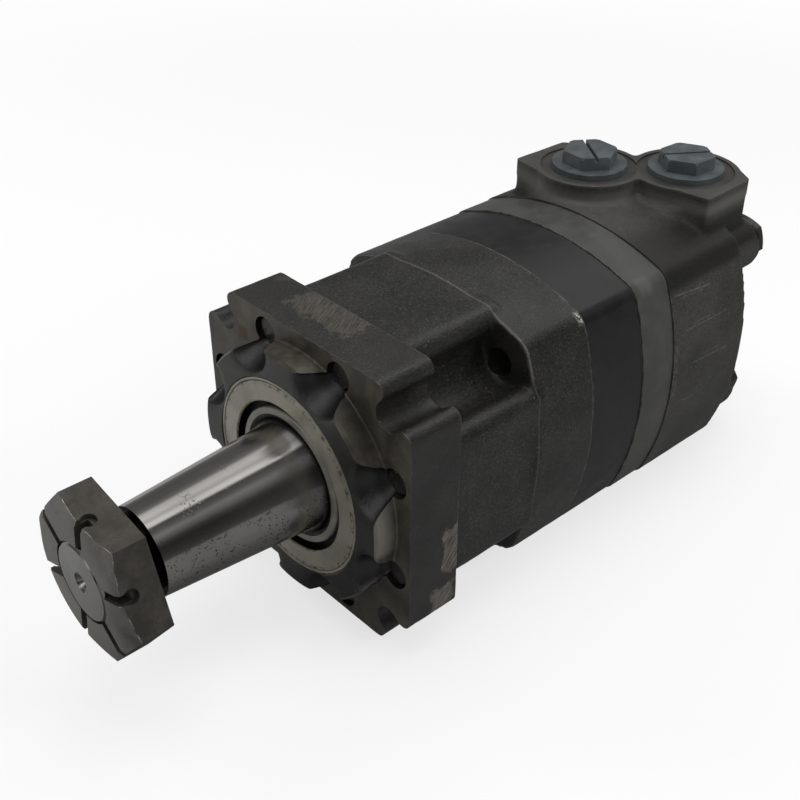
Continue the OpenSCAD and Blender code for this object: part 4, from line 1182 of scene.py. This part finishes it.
def makePlug(name, place, phase):
    x, y, _ = place
    seat = valve["portZ"] - valve["spotDepth"]
    top = seat + plug["hexHeight"]
    piece = addPost(name, seat - plug["depth"], seat + 0.5, valve["port"] - 0.4)
    collar = addPost("plugFlange", seat + 0.02, seat + plug["flangeThick"], plug["flange"], sides=96)
    combine(piece, collar, "UNION")
    turn = math.radians(phase)
    hexagon = addPost("plugHex", seat, top, plug["hex"], sides=6, turn=turn + math.pi / 2)
    clearSelection()
    bpy.ops.mesh.primitive_cone_add(vertices=96, radius1=(plug["hex"] + 4) * mm,
                                    radius2=(plug["hex"] - 0.7) * mm, depth=plug["hexHeight"] * mm,
                                    location=(0, 0, (seat + top) / 2 * mm))
    combine(hexagon, settle("plugCrown"), "INTERSECT")
    combine(piece, hexagon, "UNION")
    combine(piece, addPost("plugHollow", seat - plug["depth"] - past, seat - plug["wall"],
                           valve["port"] - plug["wall"]), "DIFFERENCE")
    width, deep = plug["slot"]
    slot = addBlock("plugSlot", (-plug["hex"] - 3, -width / 2, top - deep),
                    (plug["hex"] + 3, width / 2, top + deep))
    slot.rotation_euler = (0, 0, turn + math.radians(30))
    combine(piece, applyPlace(slot), "DIFFERENCE")
    dress(piece, plugPlastic)
    roundEdges(piece, 0.35, 25, plugEdge)
    piece.location = (x * mm, y * mm, 0)
    applyPlace(piece)
    finishPiece(piece, "housing", name[:11])


makePlug("port_plug_a_moulded", valve["portA"], plug["phases"]["a"])
makePlug("port_plug_b_moulded", valve["portB"], plug["phases"]["b"])

bolt = {"shank": 5.6, "across": 22.0, "collar": 14.2, "collarThick": 2.4, "head": 8.0}


def makeBolts():
    seat = body["drumX"] - valve["bossLength"]
    top = seat - bolt["collarThick"] - bolt["head"]
    piece = addBar("tie_bolts_hex", seat - bolt["collarThick"], seat - 0.02, bolt["collar"], sides=64)
    corner = bolt["across"] / math.sqrt(3)
    head = addBar("boltHead", top, seat - bolt["collarThick"] + 0.5, corner, sides=6)
    crown = addTurned("boltCrown", [(top, 0), (top, bolt["across"] / 2 - 0.6), (top + 2, corner + 1),
                                    (seat, corner + 1), (seat, 0)], 64, ring=False)
    combine(head, crown, "INTERSECT")
    combine(piece, head, "UNION")
    combine(piece, addBar("boltShank", seat - 3, body["shoulderX"] - 6, bolt["shank"], sides=32), "UNION")
    dress(piece, screwSteel)
    roundEdges(piece, 0.4, 30, wornBlack)
    piece.location = (0, body["boltCircle"] * mm, 0)
    applyPlace(piece)
    piece = around(piece, 4, 45)
    finishPiece(piece, "housing", "tie_bolts")


def makeDrainPlug():
    x = body["rearX"]
    piece = addBar("case_drain_plug_steel", x + 0.6, x + 12, 8.95, z=-28)
    combine(piece, addBar("key", x - past, x + 6, 4.6, z=-28, sides=6), "DIFFERENCE")
    dress(piece, screwSteel)
    roundEdges(piece, 0.5, 40, wornBlack)
    finishPiece(piece, "housing", "case_drain_plug")


makeBolts()
makeDrainPlug()
print("plugs and bolts made")

# Inner pieces keep their solids and get finishes of their own
innerFinishes = {
    "seal_rubber": sealRubber, "bearing_steel": bearingSteel, "cage_steel": cageSteel,
    "gear_steel": gearSteel,
}
for subpart in frame["record"]["subparts"]:
    node = frame["nodes"][subpart["node"]]
    finish = innerFinishes.get(subpart["material_slot"])
    if finish:
        dress(node, finish)
print("inner pieces finished")
